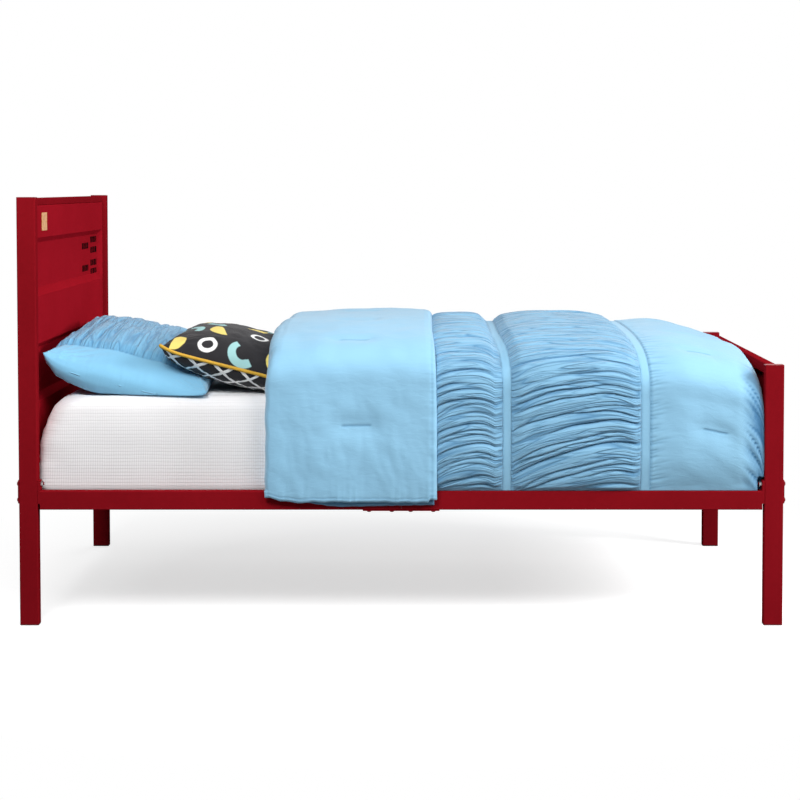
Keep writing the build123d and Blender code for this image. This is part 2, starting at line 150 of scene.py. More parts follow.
def vector_node(tree, operation, *values):
    """One maths node for places and directions."""
    node = tree.nodes.new("ShaderNodeVectorMath")
    node.operation = operation
    for socket, value in zip(node.inputs, values):
        feed(tree, value, socket)
    return node


def noise_node(tree, place, scale, **settings):
    """A noise texture on a place, with so many waves to the metre."""
    node = tree.nodes.new("ShaderNodeTexNoise")
    feed(tree, place, node.inputs["Vector"])
    feed(tree, scale, node.inputs["Scale"])
    for label, value in settings.items():
        node.inputs[label.title()].default_value = value
    return node


def remap(tree, value, low, high, out_low, out_high):
    """Maps a value's range to another, and clamps it."""
    node = tree.nodes.new("ShaderNodeMapRange")
    tree.links.new(value, node.inputs["Value"])
    for label, number in zip(("From Min", "From Max", "To Min", "To Max"), (low, high, out_low, out_high)):
        node.inputs[label].default_value = number
    return node.outputs["Result"]


def linear(red, green, blue):
    """A colour as a camera writes it, from 0 to 255, made linear."""
    parts = [value / 255 for value in (red, green, blue)]
    return [p / 12.92 if p <= 0.04045 else ((p + 0.055) / 1.055) ** 2.4 for p in parts] + [1.0]


def mix_colours(tree, share, first, second):
    """Mixes two colours. Each is four numbers or the output of another node."""
    mix = tree.nodes.new("ShaderNodeMix")
    mix.data_type = "RGBA"
    tree.links.new(share, mix.inputs["Factor"])
    feed(tree, first, mix.inputs[6])
    feed(tree, second, mix.inputs[7])
    return mix.outputs[2]


def bump_from(tree, height, distance, strength=1.0, under=None):
    """A bump of a real height in metres, on top of another bump if one is given."""
    bump = tree.nodes.new("ShaderNodeBump")
    bump.inputs["Distance"].default_value = distance
    bump.inputs["Strength"].default_value = strength
    tree.links.new(height, bump.inputs["Height"])
    if under is not None:
        tree.links.new(under, bump.inputs["Normal"])
    return bump.outputs["Normal"]


def mix_shaders(tree, share, first, second):
    """All the first shader where the share is 0, and all the second where it is 1."""
    mix = tree.nodes.new("ShaderNodeMixShader")
    tree.links.new(share, mix.inputs["Fac"])
    tree.links.new(first.outputs[0], mix.inputs[1])
    tree.links.new(second.outputs[0], mix.inputs[2])
    return mix


# %% [markdown]
# ## Floor, backdrop and sky
#
# The floor and the backdrop are white for the eye only: for light that bounces they are grey, so the
# steel legs darken towards the floor as real ones do. A Light Path node tells the two apart. Near the bed
# the floor is a matt surface, which keeps the shadow, and further out it is plain white.


# %% Floor, backdrop and sky
def seen_and_bounced(tree, seen, bounced):
    """Picks one shader for the eye and for reflections, and another for light that bounces."""
    path = tree.nodes.new("ShaderNodeLightPath")
    clear = math_node(tree, "MAXIMUM", path.outputs["Is Camera Ray"], path.outputs["Is Glossy Ray"])
    either = math_node(tree, "MAXIMUM", clear, path.outputs["Is Transmission Ray"])
    return mix_shaders(tree, either, bounced, seen)


def floor_material():
    """A white floor that keeps the bed's shadow and is plain white further out."""
    material = bpy.data.materials.new("floor_white")
    material.use_nodes = True
    tree = material.node_tree
    tree.nodes.clear()
    matt = tree.nodes.new("ShaderNodeBsdfDiffuse")
    matt.inputs["Color"].default_value = (0.8, 0.8, 0.8, 1)
    glow = tree.nodes.new("ShaderNodeEmission")
    glow.inputs["Strength"].default_value = 0.62
    near = tree.nodes.new("ShaderNodeAddShader")
    tree.links.new(matt.outputs[0], near.inputs[0])
    tree.links.new(glow.outputs[0], near.inputs[1])
    far = tree.nodes.new("ShaderNodeEmission")
    places = tree.nodes.new("ShaderNodeTexCoord")
    distance = vector_node(tree, "LENGTH", places.outputs["Object"])
    shadow_end, plain_start = 0.75, 1.7
    fade = remap(tree, distance.outputs["Value"], shadow_end, plain_start, 0, 1)
    bounced = tree.nodes.new("ShaderNodeBsdfDiffuse")
    bounced.inputs["Color"].default_value = (0.22, 0.22, 0.22, 1)
    out = tree.nodes.new("ShaderNodeOutputMaterial")
    choice = seen_and_bounced(tree, mix_shaders(tree, fade, near, far), bounced)
    tree.links.new(choice.outputs[0], out.inputs["Surface"])
    return material


def stage_floor():
    """A wide floor under the bed."""
    mesh = bpy.data.meshes.new("floor")
    bm = bmesh.new()
    bmesh.ops.create_grid(bm, x_segments=1, y_segments=1, size=40)
    bm.to_mesh(mesh)
    bm.free()
    floor = bpy.data.objects.new("floor", mesh)
    bpy.context.scene.collection.objects.link(floor)
    floor.data.materials.append(floor_material())


def stage_sky():
    """A world that is white to look at and gives an even, modest light."""
    world = bpy.data.worlds.new("sky")
    world.use_nodes = True
    tree = world.node_tree
    tree.nodes.clear()
    seen = tree.nodes.new("ShaderNodeBackground")
    seen.inputs["Color"].default_value = (1, 1, 1, 1)
    bounced = tree.nodes.new("ShaderNodeBackground")
    bounced.inputs["Color"].default_value = (0.95, 0.97, 1, 1)
    bounced.inputs["Strength"].default_value = 0.14
    out = tree.nodes.new("ShaderNodeOutputWorld")
    choice = seen_and_bounced(tree, seen, bounced)
    tree.links.new(choice.outputs[0], out.inputs["Surface"])
    bpy.context.scene.world = world


stage_floor()
stage_sky()

# %% [markdown]
# ## Waves and easing
#
# Loose folds come from smooth noise: where noise crosses zero, its size makes a sharp valley between two
# rounded ridges, as soft cotton does. Easing fades one shape into another without a visible step, and
# uneven spacing puts many rows of mesh where the cloth turns sharply and few where it is flat.


# %% Noise and easing
def cloth_noise(u, v, seed):
    """Smooth random waves from about -1 to 1, one wave for each unit of u and v."""
    table = 64
    turns = np.random.default_rng(seed).random((table, table)) * 2 * math.pi
    cell_u, cell_v = np.floor(u).astype(int), np.floor(v).astype(int)
    part_u, part_v = u - cell_u, v - cell_v
    ease_u = part_u**3 * (part_u * (6 * part_u - 15) + 10)
    ease_v = part_v**3 * (part_v * (6 * part_v - 15) + 10)

    def corner(i, j):
        turn = turns[(cell_u + i) % table, (cell_v + j) % table]
        return np.cos(turn) * (part_u - i) + np.sin(turn) * (part_v - j)

    low = corner(0, 0) * (1 - ease_u) + corner(1, 0) * ease_u
    high = corner(0, 1) * (1 - ease_u) + corner(1, 1) * ease_u
    return 1.6 * (low * (1 - ease_v) + high * ease_v)


def ease(value, start, stop):
    """0 before start, 1 after stop, and smooth between."""
    share = np.clip((value - start) / (stop - start), 0, 1)
    return share * share * (3 - 2 * share)


def spaced(start, stop, coarse, fine, centres, reach):
    """Places from start to stop, a coarse step apart, but a fine step near the centres."""
    dense = np.linspace(start, stop, 4000)
    weight = np.full_like(dense, 1 / coarse)
    for centre in centres:
        near = np.exp(-(((dense - centre) / reach) ** 2))
        weight = np.maximum(weight, near / fine)
    total = np.concatenate([[0], np.cumsum((weight[1:] + weight[:-1]) / 2 * np.diff(dense))])
    count = int(round(total[-1])) + 1
    return np.interp(np.linspace(0, total[-1], count), total, dense)


# %% [markdown]
# ## Pads from a grid
#
# Cloth is a sheet with a flat pattern, so its pieces start as a flat grid. One extrusion gives the grid a
# second layer, which makes a closed pad, and the grid's two directions stay with every vertex as its
# place on the flat pattern. That place drives the folds and becomes the UV map, so a weave follows the
# cloth however it hangs.


# %% Pads from a grid
def read_points(mesh):
    """All places of a mesh as rows of three."""
    values = np.empty(len(mesh.vertices) * 3)
    mesh.vertices.foreach_get("co", values)
    return values.reshape(-1, 3)


def two_layers(rows, columns):
    """A grid of so many cells in two layers joined at their edges, and the lower layer's vertices."""
    bm = bmesh.new()
    bmesh.ops.create_grid(bm, x_segments=rows, y_segments=columns, size=1)
    lower = list(bm.verts)
    grown = bmesh.ops.extrude_face_region(bm, geom=bm.faces[:])
    upper = [part for part in grown["geom"] if isinstance(part, bmesh.types.BMVert)]
    bmesh.ops.translate(bm, verts=upper, vec=(0, 0, 1))
    return bm, lower


def mesh_from(bm, name):
    """Turns a bmesh into a mesh with its faces pointing outwards."""
    bmesh.ops.recalc_face_normals(bm, faces=bm.faces)
    mesh = bpy.data.meshes.new(name)
    bm.to_mesh(mesh)
    bm.free()
    return mesh


def flat_pad(rows, columns, lining_step=1):
    """A closed pad of two grid layers: rows along X, columns along Y, its layers at Z 0 and 1.

    The lower layer is the lining, which nobody sees: with a step, only some of its vertices stay."""
    bm, lower = two_layers(rows - 1, columns - 1)
    if lining_step > 1:
        lining = {}
        for vert in lower:
            row = round((vert.co.x + 1) / 2 * (rows - 1))
            column = round((vert.co.y + 1) / 2 * (columns - 1))
            lining[row, column] = vert
        kept = {}
        for (row, column), vert in lining.items():
            near_row = min(round(row / lining_step) * lining_step, rows - 1)
            near_column = min(round(column / lining_step) * lining_step, columns - 1)
            if (near_row, near_column) != (row, column):
                kept[vert] = lining[near_row, near_column]
        bmesh.ops.weld_verts(bm, targetmap=kept)
    mesh = mesh_from(bm, "pad")
    places = read_points(mesh)
    row = np.rint((places[:, 0] + 1) / 2 * (rows - 1)).astype(int)
    column = np.rint((places[:, 1] + 1) / 2 * (columns - 1)).astype(int)
    return mesh, row, column, places[:, 2] > 0.5


def set_uv(mesh, flat):
    """Gives each corner of a face its vertex's place on the flat cloth, in metres."""
    corner = np.empty(len(mesh.loops), dtype=int)
    mesh.loops.foreach_get("vertex_index", corner)
    layer = mesh.uv_layers.new(name="cloth")
    layer.data.foreach_set("uv", flat[corner].astype(np.float32).ravel())


def set_mask(mesh, name, values):
    """Stores one number from 0 to 1 for each vertex, which a material can read."""
    mask = mesh.attributes.new(name, "FLOAT", "POINT")
    mask.data.foreach_set("value", np.clip(values, 0, 1).astype(np.float32).ravel())


def face_outwards(mesh):
    """Turns the faces of a closed mesh outwards and makes them smooth."""
    bm = bmesh.new()
    bm.from_mesh(mesh)
    bmesh.ops.recalc_face_normals(bm, faces=bm.faces)
    bm.to_mesh(mesh)
    bm.free()
    mesh.polygons.foreach_set("use_smooth", [True] * len(mesh.polygons))
    mesh.update()


def add_piece(name, mesh, materials, stands_for=()):
    """Makes a mesh a piece of the bed: it rides with the frame and may stand for CAD solids."""
    mesh.name = name
    piece = bpy.data.objects.new(name, mesh)
    bpy.context.scene.collection.objects.link(piece)
    for material in materials:
        mesh.materials.append(material)
    if stands_for:
        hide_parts(*stands_for)
    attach(piece, "root")
    print(name, "faces", len(mesh.polygons))
    return piece


# %% [markdown]
# ## Shader groups
#
# Three effects appear in more than one finish, so each is built once as a node group. A weave is two
# crossed waves on the flat cloth's own coordinates. Powder coat is a paint of melted grains, so it has a
# fine orange peel. Large soft patches of tone keep any wide surface from looking like a flat colour.


# %% Build the shader groups
def new_group(name, inputs, outputs):
    """A shader node group with named sockets: inputs are (name, kind, default)."""
    group = bpy.data.node_groups.new(name, "ShaderNodeTree")
    for label, kind, default in inputs:
        socket = group.interface.new_socket(label, in_out="INPUT", socket_type=kind)
        if default is not None:
            socket.default_value = default
    for label, kind in outputs:
        group.interface.new_socket(label, in_out="OUTPUT", socket_type=kind)
    return group, group.nodes.new("NodeGroupInput"), group.nodes.new("NodeGroupOutput")


def weave_group():
    """Threads over and under: height and a mask of the gaps, from a flat place in metres."""
    group, start, end = new_group(
        "woven_threads",
        [
            ("Place", "NodeSocketVector", None),
            ("Pitch Along", "NodeSocketFloat", 0.001),
            ("Pitch Across", "NodeSocketFloat", 0.001),
        ],
        [("Height", "NodeSocketFloat"), ("Gap", "NodeSocketFloat")],
    )
    split = group.nodes.new("ShaderNodeSeparateXYZ")
    group.links.new(start.outputs["Place"], split.inputs[0])
    waves = []
    for axis, pitch in (("X", "Pitch Along"), ("Y", "Pitch Across")):
        turns = math_node(group, "DIVIDE", split.outputs[axis], start.outputs[pitch])
        angle = math_node(group, "MULTIPLY", turns, 2 * math.pi)
        waves.append(math_node(group, "SINE", angle))
    both = math_node(group, "ADD", waves[0], waves[1])
    height = math_node(group, "MULTIPLY_ADD", both, 0.25, 0.5)
    gap = math_node(group, "POWER", math_node(group, "SUBTRACT", 1.0, height), 3.0)
    group.links.new(height, end.inputs["Height"])
    group.links.new(gap, end.inputs["Gap"])
    return group


def patches_group():
    """Large and small soft patches of tone around 0.5."""
    group, start, end = new_group(
        "soft_patches",
        [("Place", "NodeSocketVector", None), ("Size", "NodeSocketFloat", 0.2)],
        [("Tone", "NodeSocketFloat")],
    )
    step = math_node(group, "DIVIDE", 1.0, start.outputs["Size"])
    noise = noise_node(group, start.outputs["Place"], step, detail=4, roughness=0.55)
    group.links.new(noise.outputs["Fac"], end.inputs["Tone"])
    return group


def grain_group():
    """The orange peel of powder coat: a fine height from two sizes of grain."""
    group, start, end = new_group(
        "powder_grain",
        [("Place", "NodeSocketVector", None), ("Grain", "NodeSocketFloat", 0.0015)],
        [("Height", "NodeSocketFloat")],
    )
    step = math_node(group, "DIVIDE", 1.0, start.outputs["Grain"])
    heights = []
    for share in (1.0, 0.3):
        size = math_node(group, "MULTIPLY", step, share)
        noise = noise_node(group, start.outputs["Place"], size, detail=2)
        heights.append(noise.outputs["Fac"])
    mixed = math_node(group, "MULTIPLY_ADD", heights[1], 1.5, heights[0])
    group.links.new(mixed, end.inputs["Height"])
    return group


weave = weave_group()
patches = patches_group()
grain = grain_group()


# %% [markdown]
# ## Starting a material
#
# Every finish starts from the Principled shader, because that one shader covers paint, metal, plastic and
# cloth. A shared effect is placed in it as a group with its own values, and what is the same all over a
# surface, such as its sheen, is set on the shader itself.


# %% Start a material
def new_material(name):
    """An empty material with its shader and a node for places."""
    material = bpy.data.materials.new(name)
    material.use_nodes = True
    tree = material.node_tree
    shader = tree.nodes["Principled BSDF"]
    places = tree.nodes.new("ShaderNodeTexCoord")
    return material, tree, shader, places


def use_group(tree, group, place, **values):
    """Puts a group into a material, fed with a place and its own values."""
    node = tree.nodes.new("ShaderNodeGroup")
    node.node_tree = group
    tree.links.new(place, node.inputs["Place"])
    for label, value in values.items():
        node.inputs[label.replace("_", " ").title()].default_value = value
    return node


socket_names = {
    "roughness": "Roughness",
    "metallic": "Metallic",
    "specular": "Specular IOR Level",
    "sheen": "Sheen Weight",
    "sheen_roughness": "Sheen Roughness",
}


def surface(shader, **settings):
    """Sets what is the same all over a surface on the shader's own sockets."""
    for label, value in settings.items():
        shader.inputs[socket_names[label]].default_value = value


# %% [markdown]
# ## Steel finishes
#
# The frame is steel with a dull red powder coat, which has a fine grain, hardly any gloss, and a tone that
# drifts a little over a long tube. The wide pressed panels are painted a brighter red than the tubes, which
# is
# painted light: it stands in for the extra light that falls on them from the foot side. The nuts and slat
# screws are zinc plated, and the feet are black plastic. These finishes read object coordinates, so they lie
# still on the CAD parts.


# %% Red powder coat
def red_powder_coat(name, warm, cool, shine):
    """Red paint with orange peel and slow patches of tone."""
    material, tree, shader, places = new_material(name)
    place = places.outputs["Object"]
    broad = use_group(tree, patches, place, size=0.35)
    small = use_group(tree, patches, place, size=0.012)
    tone = math_node(tree, "MULTIPLY_ADD", small.outputs["Tone"], 0.35, broad.outputs["Tone"])
    share = remap(tree, tone, 0.45, 0.9, 0, 1)
    tree.links.new(mix_colours(tree, share, linear(*cool), linear(*warm)), shader.inputs["Base Color"])
    tree.links.new(remap(tree, tone, 0.4, 1.0, 0.5, 0.4), shader.inputs["Roughness"])
    peel = use_group(tree, grain, place, grain=0.0016)
    tree.links.new(bump_from(tree, peel.outputs["Height"], 0.0001, 0.5), shader.inputs["Normal"])
    surface(shader, specular=shine)
    return material


def plated_steel(name):
    """Bright zinc plate with faint clouds."""
    material, tree, shader, places = new_material(name)
    cloud = use_group(tree, patches, places.outputs["Object"], size=0.006)
    tone = cloud.outputs["Tone"]
    colour = mix_colours(tree, tone, linear(150, 152, 155), linear(196, 198, 200))
    tree.links.new(colour, shader.inputs["Base Color"])
    tree.links.new(remap(tree, tone, 0.3, 0.7, 0.28, 0.42), shader.inputs["Roughness"])
    surface(shader, metallic=1.0)
    return material


def black_plastic(name):
    """Moulded black plastic with a fine grain."""
    material, tree, shader, places = new_material(name)
    place = places.outputs["Object"]
    cloud = use_group(tree, patches, place, size=0.02)
    colour = mix_colours(tree, cloud.outputs["Tone"], linear(26, 24, 25), linear(44, 42, 43))
    tree.links.new(colour, shader.inputs["Base Color"])
    peel = use_group(tree, grain, place, grain=0.0009)
    tree.links.new(bump_from(tree, peel.outputs["Height"], 0.0001, 0.6), shader.inputs["Normal"])
    surface(shader, roughness=0.55)
    return material


red_steel = red_powder_coat("red_powder_coat", (144, 20, 30), (130, 17, 26), 0.0)
red_fittings = red_powder_coat("red_fittings", (134, 16, 27), (118, 13, 22), 0.12)
# The panels' brighter red is painted light, for the light that falls on them from the foot side.
lit_red_sheet = red_powder_coat("lit_red_sheet", (169, 24, 38), (153, 20, 32), 0.0)
zinc = plated_steel("zinc_plate")
feet_black = black_plastic("feet_black")

soft_nodes = ("mattress", "comforter", "pillow_blue", "cushion_print")
for node_name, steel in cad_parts.items():
    if node_name in soft_nodes:
        continue
    finish = red_steel
    if node_name in ("corner_nuts", "joining_nuts", "slat_screws"):
        finish = zinc
    elif "_glide_" in node_name:
        finish = feet_black
    # Pressed panels get the brighter red of painted light.
    elif node_name.endswith("_panel"):
        finish = lit_red_sheet
    elif "_cap_" in node_name or "bolts" in node_name or "corner_plate" in node_name:
        finish = red_fittings
    for slot in steel.material_slots:
        slot.material = finish
print("steel finishes on", len(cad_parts) - len(soft_nodes), "nodes")

# %% [markdown]
# ## Blue cotton
#
# All the cloth is cotton or something like it: a matt surface with a faint sheen at grazing angles, a
# weave, and small creases left from folding. The blue cloth also reads a mask of its own folds and seams,
# and paints shade into it: its creases are painted a deeper blue, as light that bounces inside a crease
# would come out, and its gathered panels are painted a little darker all over. Where it is gathered it also
# has thin lines between the folds that the mesh itself makes, which are bumped and painted dark as shade.


# %% Blue cotton
def mask_of(tree, name):
    """Reads a mask that a mesh keeps under a name."""
    node = tree.nodes.new("ShaderNodeAttribute")
    node.attribute_name = name
    return node.outputs["Fac"]


def stretch(tree, place, along, across):
    """A place on the flat cloth, scaled along the cloth and across it."""
    node = tree.nodes.new("ShaderNodeMapping")
    node.inputs["Scale"].default_value = (along, across, 1.0)
    tree.links.new(place, node.inputs["Vector"])
    return node.outputs["Vector"]


def drawn_creases(tree, place, along, across, width):
    """A mask of thin crease lines that run along the cloth, as gathering leaves them, for their bump and
    painted shade.
    """
    noise = noise_node(tree, stretch(tree, place, 1 / along, 1 / across), 1.0, detail=1.0, distortion=0.3)
    off = math_node(tree, "SUBTRACT", noise.outputs["Fac"], 0.5)
    return remap(tree, math_node(tree, "ABSOLUTE", off), 0.0, width, 1, 0)


def blue_cotton(name, light, deep, crease_size):
    """Soft blue cotton with shade painted into its folds, with a weave and fine storage creases."""
    material, tree, shader, places = new_material(name)
    uv = places.outputs["UV"]
    drawn_up = mask_of(tree, "gather")
    cloud = use_group(tree, patches, uv, size=0.25)
    base = mix_colours(tree, cloud.outputs["Tone"], linear(*light), linear(*[c - 9 for c in light]))
    # Gathered panels are painted a little darker all over: painted shade among their folds.
    base = mix_colours(tree, math_node(tree, "MULTIPLY", drawn_up, 0.22), base, linear(*deep))
    # Thin crease lines, bumped and also painted dark as shade.
    short = math_node(tree, "MULTIPLY", drawn_creases(tree, uv, 0.12, 0.009, 0.07), 0.5)
    lines = math_node(tree, "MAXIMUM", drawn_creases(tree, uv, 0.26, 0.022, 0.05), short)
    lines = math_node(tree, "MULTIPLY", lines, drawn_up)
    # The deep blue is painted shade, mixed in by the mesh's mask of creases and seams and by the crease
    # lines.
    depth = math_node(tree, "MAXIMUM", mask_of(tree, "shade_and_seams"), math_node(tree, "MULTIPLY", lines, 0.7))
    tree.links.new(mix_colours(tree, depth, base, linear(*deep)), shader.inputs["Base Color"])
    wrinkles = noise_node(tree, stretch(tree, uv, 1.0, 2.6), 1 / crease_size, detail=5, distortion=0.6)
    soft = bump_from(tree, wrinkles.outputs["Fac"], 0.0018, 0.5)
    drawn = bump_from(tree, math_node(tree, "MULTIPLY", lines, -1.0), 0.003, 0.8, soft)
    threads = use_group(tree, weave, uv, pitch_along=0.0016, pitch_across=0.0016)
    tree.links.new(bump_from(tree, threads.outputs["Height"], 0.00025, 0.5, drawn), shader.inputs["Normal"])
    surface(shader, roughness=0.86, specular=0.25, sheen=0.3, sheen_roughness=0.45)
    return material


comforter_blue = blue_cotton("comforter_cotton", (152, 204, 234), (70, 124, 166), 0.035)
pillow_blue = blue_cotton("pillow_cotton", (134, 196, 230), (70, 130, 176), 0.03)
# A darker copy of the blue cotton: painted shade for the lining that hangs below the hem.
shaded_lining_blue = blue_cotton("comforter_underside_shaded", (120, 170, 205), (70, 110, 145), 0.04)


# %% [markdown]
# ## White waffle cover
#
# The mattress cover is woven in raised cells: ribs that run round the mattress, with finer ones up its
# side. Woven lines are never ruled straight, so the flat place is swayed a little before the weave reads
# it. The grooves between the ribs and cells are bumped and also painted darker as shade. That painted shade
# is strongest low down and fades towards the top, where more light falls on the cover.


# %% White waffle cover
def swayed(tree, place, scale, amount):
    """A place on the flat cloth, moved a little to and fro."""
    noise = noise_node(tree, place, scale)
    return vector_node(tree, "MULTIPLY_ADD", noise.outputs["Color"], amount, place).outputs["Vector"]


def white_waffle(name):
    """A white cover woven in small cells: low ribs across, finer ones up the side, with painted shade in the
    grooves.
    """
    material, tree, shader, places = new_material(name)
    uv = places.outputs["UV"]
    bent = swayed(tree, uv, 9, (0.004, 0.006, 0))
    rib_pitch = 0.0092
    cells = use_group(tree, weave, bent, pitch_along=0.0048, pitch_across=rib_pitch)
    split = tree.nodes.new("ShaderNodeSeparateXYZ")
    tree.links.new(bent, split.inputs[0])
    turns = math_node(tree, "MULTIPLY", split.outputs["Y"], 2 * math.pi / rib_pitch)
    wave = math_node(tree, "MULTIPLY_ADD", math_node(tree, "SINE", turns), 0.5, 0.5)
    rib = math_node(tree, "POWER", wave, 2.5)
    cloud = use_group(tree, patches, uv, size=0.09)
    patchy = remap(tree, cloud.outputs["Tone"], 0.35, 0.65, 0.2, 0.8)
    levels = tree.nodes.new("ShaderNodeSeparateXYZ")
    tree.links.new(places.outputs["Object"], levels.inputs[0])
    # Painted shade in the grooves is strongest low down and fades towards the better lit top.
    rib_shade_by_height = remap(tree, levels.outputs["Z"], 0.37, 0.52, 1.0, 0.4)
    line = math_node(tree, "MULTIPLY", rib, math_node(tree, "MULTIPLY", patchy, rib_shade_by_height))
    shade = math_node(tree, "MULTIPLY_ADD", cells.outputs["Gap"], 0.1, line)
    clean = mix_colours(tree, cloud.outputs["Tone"], linear(238, 237, 238), linear(248, 247, 248))
    # The grooves are painted grey as shade.
    colour = mix_colours(tree, math_node(tree, "MULTIPLY", shade, 0.5), clean, linear(176, 174, 174))
    tree.links.new(colour, shader.inputs["Base Color"])
    height = math_node(tree, "SUBTRACT", cells.outputs["Height"], rib)
    tree.links.new(bump_from(tree, height, 0.0009, 0.5), shader.inputs["Normal"])
    surface(shader, roughness=0.9, specular=0.2, sheen=0.1)
    return material


mattress_white = white_waffle("mattress_waffle")

# %% [markdown]
# ## Mattress
#
# The mattress is a foam block in an elasticated cover. It stands upright at the bottom, leans in towards
# its top and ends in a soft rounded edge, most at the head. It is made from a cube, cut into a grid of
# small squares and then pressed into that shape level by level, so that its corners stay clean quads.


# %% Mattress
def gridded_cube(cuts):
    """A cube from -1 to 1 with so many cuts along each axis."""
    bm = bmesh.new()
    bmesh.ops.create_cube(bm, size=2)
    for axis, count in enumerate(cuts):
        along = []
        for edge in bm.edges:
            run = edge.verts[0].co - edge.verts[1].co
            if abs(run[axis]) > 1.0:
                along.append(edge)
        bmesh.ops.subdivide_edges(bm, edges=along, cuts=count, use_grid_fill=True)
    return bm


def box_uv(mesh):
    """Flat cloth coordinates for a boxy shape: each face uses the two axes that it faces least."""
    layer = mesh.uv_layers.new(name="cloth")
    places = read_points(mesh)
    uv = np.zeros((len(mesh.loops), 2), dtype=np.float32)
    for polygon in mesh.polygons:
        facing = [abs(part) for part in polygon.normal]
        axis = facing.index(max(facing))
        for loop in polygon.loop_indices:
            x, y, z = places[mesh.loops[loop].vertex_index]
            uv[loop] = ((y, z), (x, z), (x, y))[axis]
    layer.data.foreach_set("uv", uv.ravel())


def make_mattress():
    """The mattress with its cover drawn in towards the top."""
    bm = gridded_cube((150, 70, 34))
    mesh = bpy.data.meshes.new("mattress")
    bm.to_mesh(mesh)
    bm.free()
    a, b, c = read_points(mesh).T
    half_length = (mattress_high.x - mattress_low.x) / 2
    half_width = (mattress_high.y - mattress_low.y) / 2
    middle = (mattress_high.x + mattress_low.x) / 2
    height = mattress_high.z - mattress_low.z
    # The share of the height at which each level lies, with more levels in the rounded top edge
    share = np.sin((c + 1) / 2 * math.pi / 2) ** 1.15
    upper_half = np.clip((share - 0.5) / 0.5, 0, 1)
    rounding = 1 - np.sqrt(np.clip(1 - np.clip((share - 0.86) / 0.14, 0, 1) ** 2, 0, 1))
    foot = 0.008 * np.clip(1 - share / 0.06, 0, 1)
    end_inset = 0.05 * upper_half**1.5 + 0.036 * rounding + foot
    side_inset = 0.018 * upper_half**2 + 0.034 * rounding + foot
    corner = 0.022 + 0.028 * ease(share, 0.2, 0.7) + side_inset * 0.6
    hx, hy = half_length - end_inset, half_width - side_inset
    x, y = a * hx, b * hy
    core_x, core_y = np.clip(x, -(hx - corner), hx - corner), np.clip(y, -(hy - corner), hy - corner)
    over_x, over_y = x - core_x, y - core_y
    reach = np.hypot(over_x, over_y)
    square = np.maximum(np.abs(over_x), np.abs(over_y))
    scale = np.where(reach > 1e-9, square / np.maximum(reach, 1e-9), 1)
    x, y = core_x + over_x * scale, core_y + over_y * scale
    edge = np.maximum(np.abs(a), np.abs(b))
    top = c > 0.999
    z = mattress_low.z + height * share
    z = z - np.where(top, 0.005 * edge**6, 0.005 * (share > 0.999))
    # Slack cloth: faint waves all over and tight puckers where elastic gathers the head corners
    wave = cloth_noise(x / 0.16, z / 0.09 + 9, 3) * 0.0012
    head = ease(-(x - middle), half_length - 0.11, half_length - 0.03)
    pucker = np.abs(cloth_noise(z / 0.011, y / 0.05, 5)) * 0.0045 * head * (share > 0.25)
    inward = wave + pucker
    inward = np.where(top | (c < -0.999), 0, inward)
    x = x - np.sign(a) * inward * (np.abs(a) > 0.995) * 0.8
    y = y - np.sign(b) * inward * (np.abs(b) > 0.995)
    places = np.stack([middle + x, y, z], axis=1)
    mesh.vertices.foreach_set("co", places.ravel())
    mesh.update()
    face_outwards(mesh)
    box_uv(mesh)
    return add_piece("mattress_cover", mesh, [mattress_white], ("mattress",))


make_mattress()

# %% [markdown]
# ## Comforter: its cross section
#
# The comforter lies over the mattress, so its main line is its girth: up the right side from the rail,
# over a flat crown and down the left side. The section is a superellipse, squarer than an ellipse and
# rounder than a box, which is how a filled quilt turns over a mattress edge.


# %% Girth of the comforter
shoulder = 0.15
roundness = 3.0


def girth(half, crest, base_half, base_z, spots):
    """Places and outward directions along one section, at spots from 0 (right hem) to 1 (left hem)."""
    top = mattress_top + crest
    corner_z = top - shoulder
    rise = np.linspace(0, 1, 60)
    side_y = base_half + (half - base_half) * np.sin(np.minimum(rise / 0.4, 1) * math.pi / 2)
    side_y = side_y + 0.003 * np.sin(math.pi * rise)
    side_z = base_z + (corner_z - base_z) * rise
    angle = np.linspace(0, math.pi / 2, 240)[1:]
    top_y = half * np.cos(angle) ** (2 / roundness)
    top_z = corner_z + shoulder * np.sin(angle) ** (2 / roundness)
    y = np.concatenate([side_y, top_y])
    z = np.concatenate([side_z, top_z])
    y = np.concatenate([-y, y[-2::-1]])
    z = np.concatenate([z, z[-2::-1]])
    run = np.concatenate([[0], np.cumsum(np.hypot(np.diff(y), np.diff(z)))])
    at = spots * run[-1]
    y, z = np.interp(at, run, y), np.interp(at, run, z)
    along_y, along_z = np.gradient(y, at), np.gradient(z, at)
    size = np.hypot(along_y, along_z)
    return y, z, -along_z / size, along_y / size, at - run[-1] / 2


def pad_piece(outer, inner, flat, shade_and_seams, lining_step=1, gather=None):
    """A closed pad wrapped over its outer and inner surfaces, with its flat pattern and its mask of painted
    shade and seam lines.
    """
    rows, count = outer.shape[:2]
    mesh, row, column, upper = flat_pad(rows, count, lining_step)
    places = np.where(upper[:, None], outer[row, column], inner[row, column])
    mesh.vertices.foreach_set("co", places.ravel())
    set_uv(mesh, flat[row, column])
    set_mask(mesh, "shade_and_seams", np.where(upper, shade_and_seams[row, column], 0))
    if gather is not None:
        set_mask(mesh, "gather", np.where(upper, gather[row, column], 0))
    face_outwards(mesh)
    return mesh


# %% [markdown]
# ## Comforter: gathers, bands and the tucked foot
#
# Two panels are gathered: a long strip of cloth is drawn up on flat bands, so it stands up between them in
# folds that run along the bed. Close to a band the folds are as fine as the gathering stitches, and
# further away they join into fewer, deeper ones. The last panel is plain and thickly filled, held to its
# lining by short tacking stitches, and its foot end is pushed down behind the mattress.

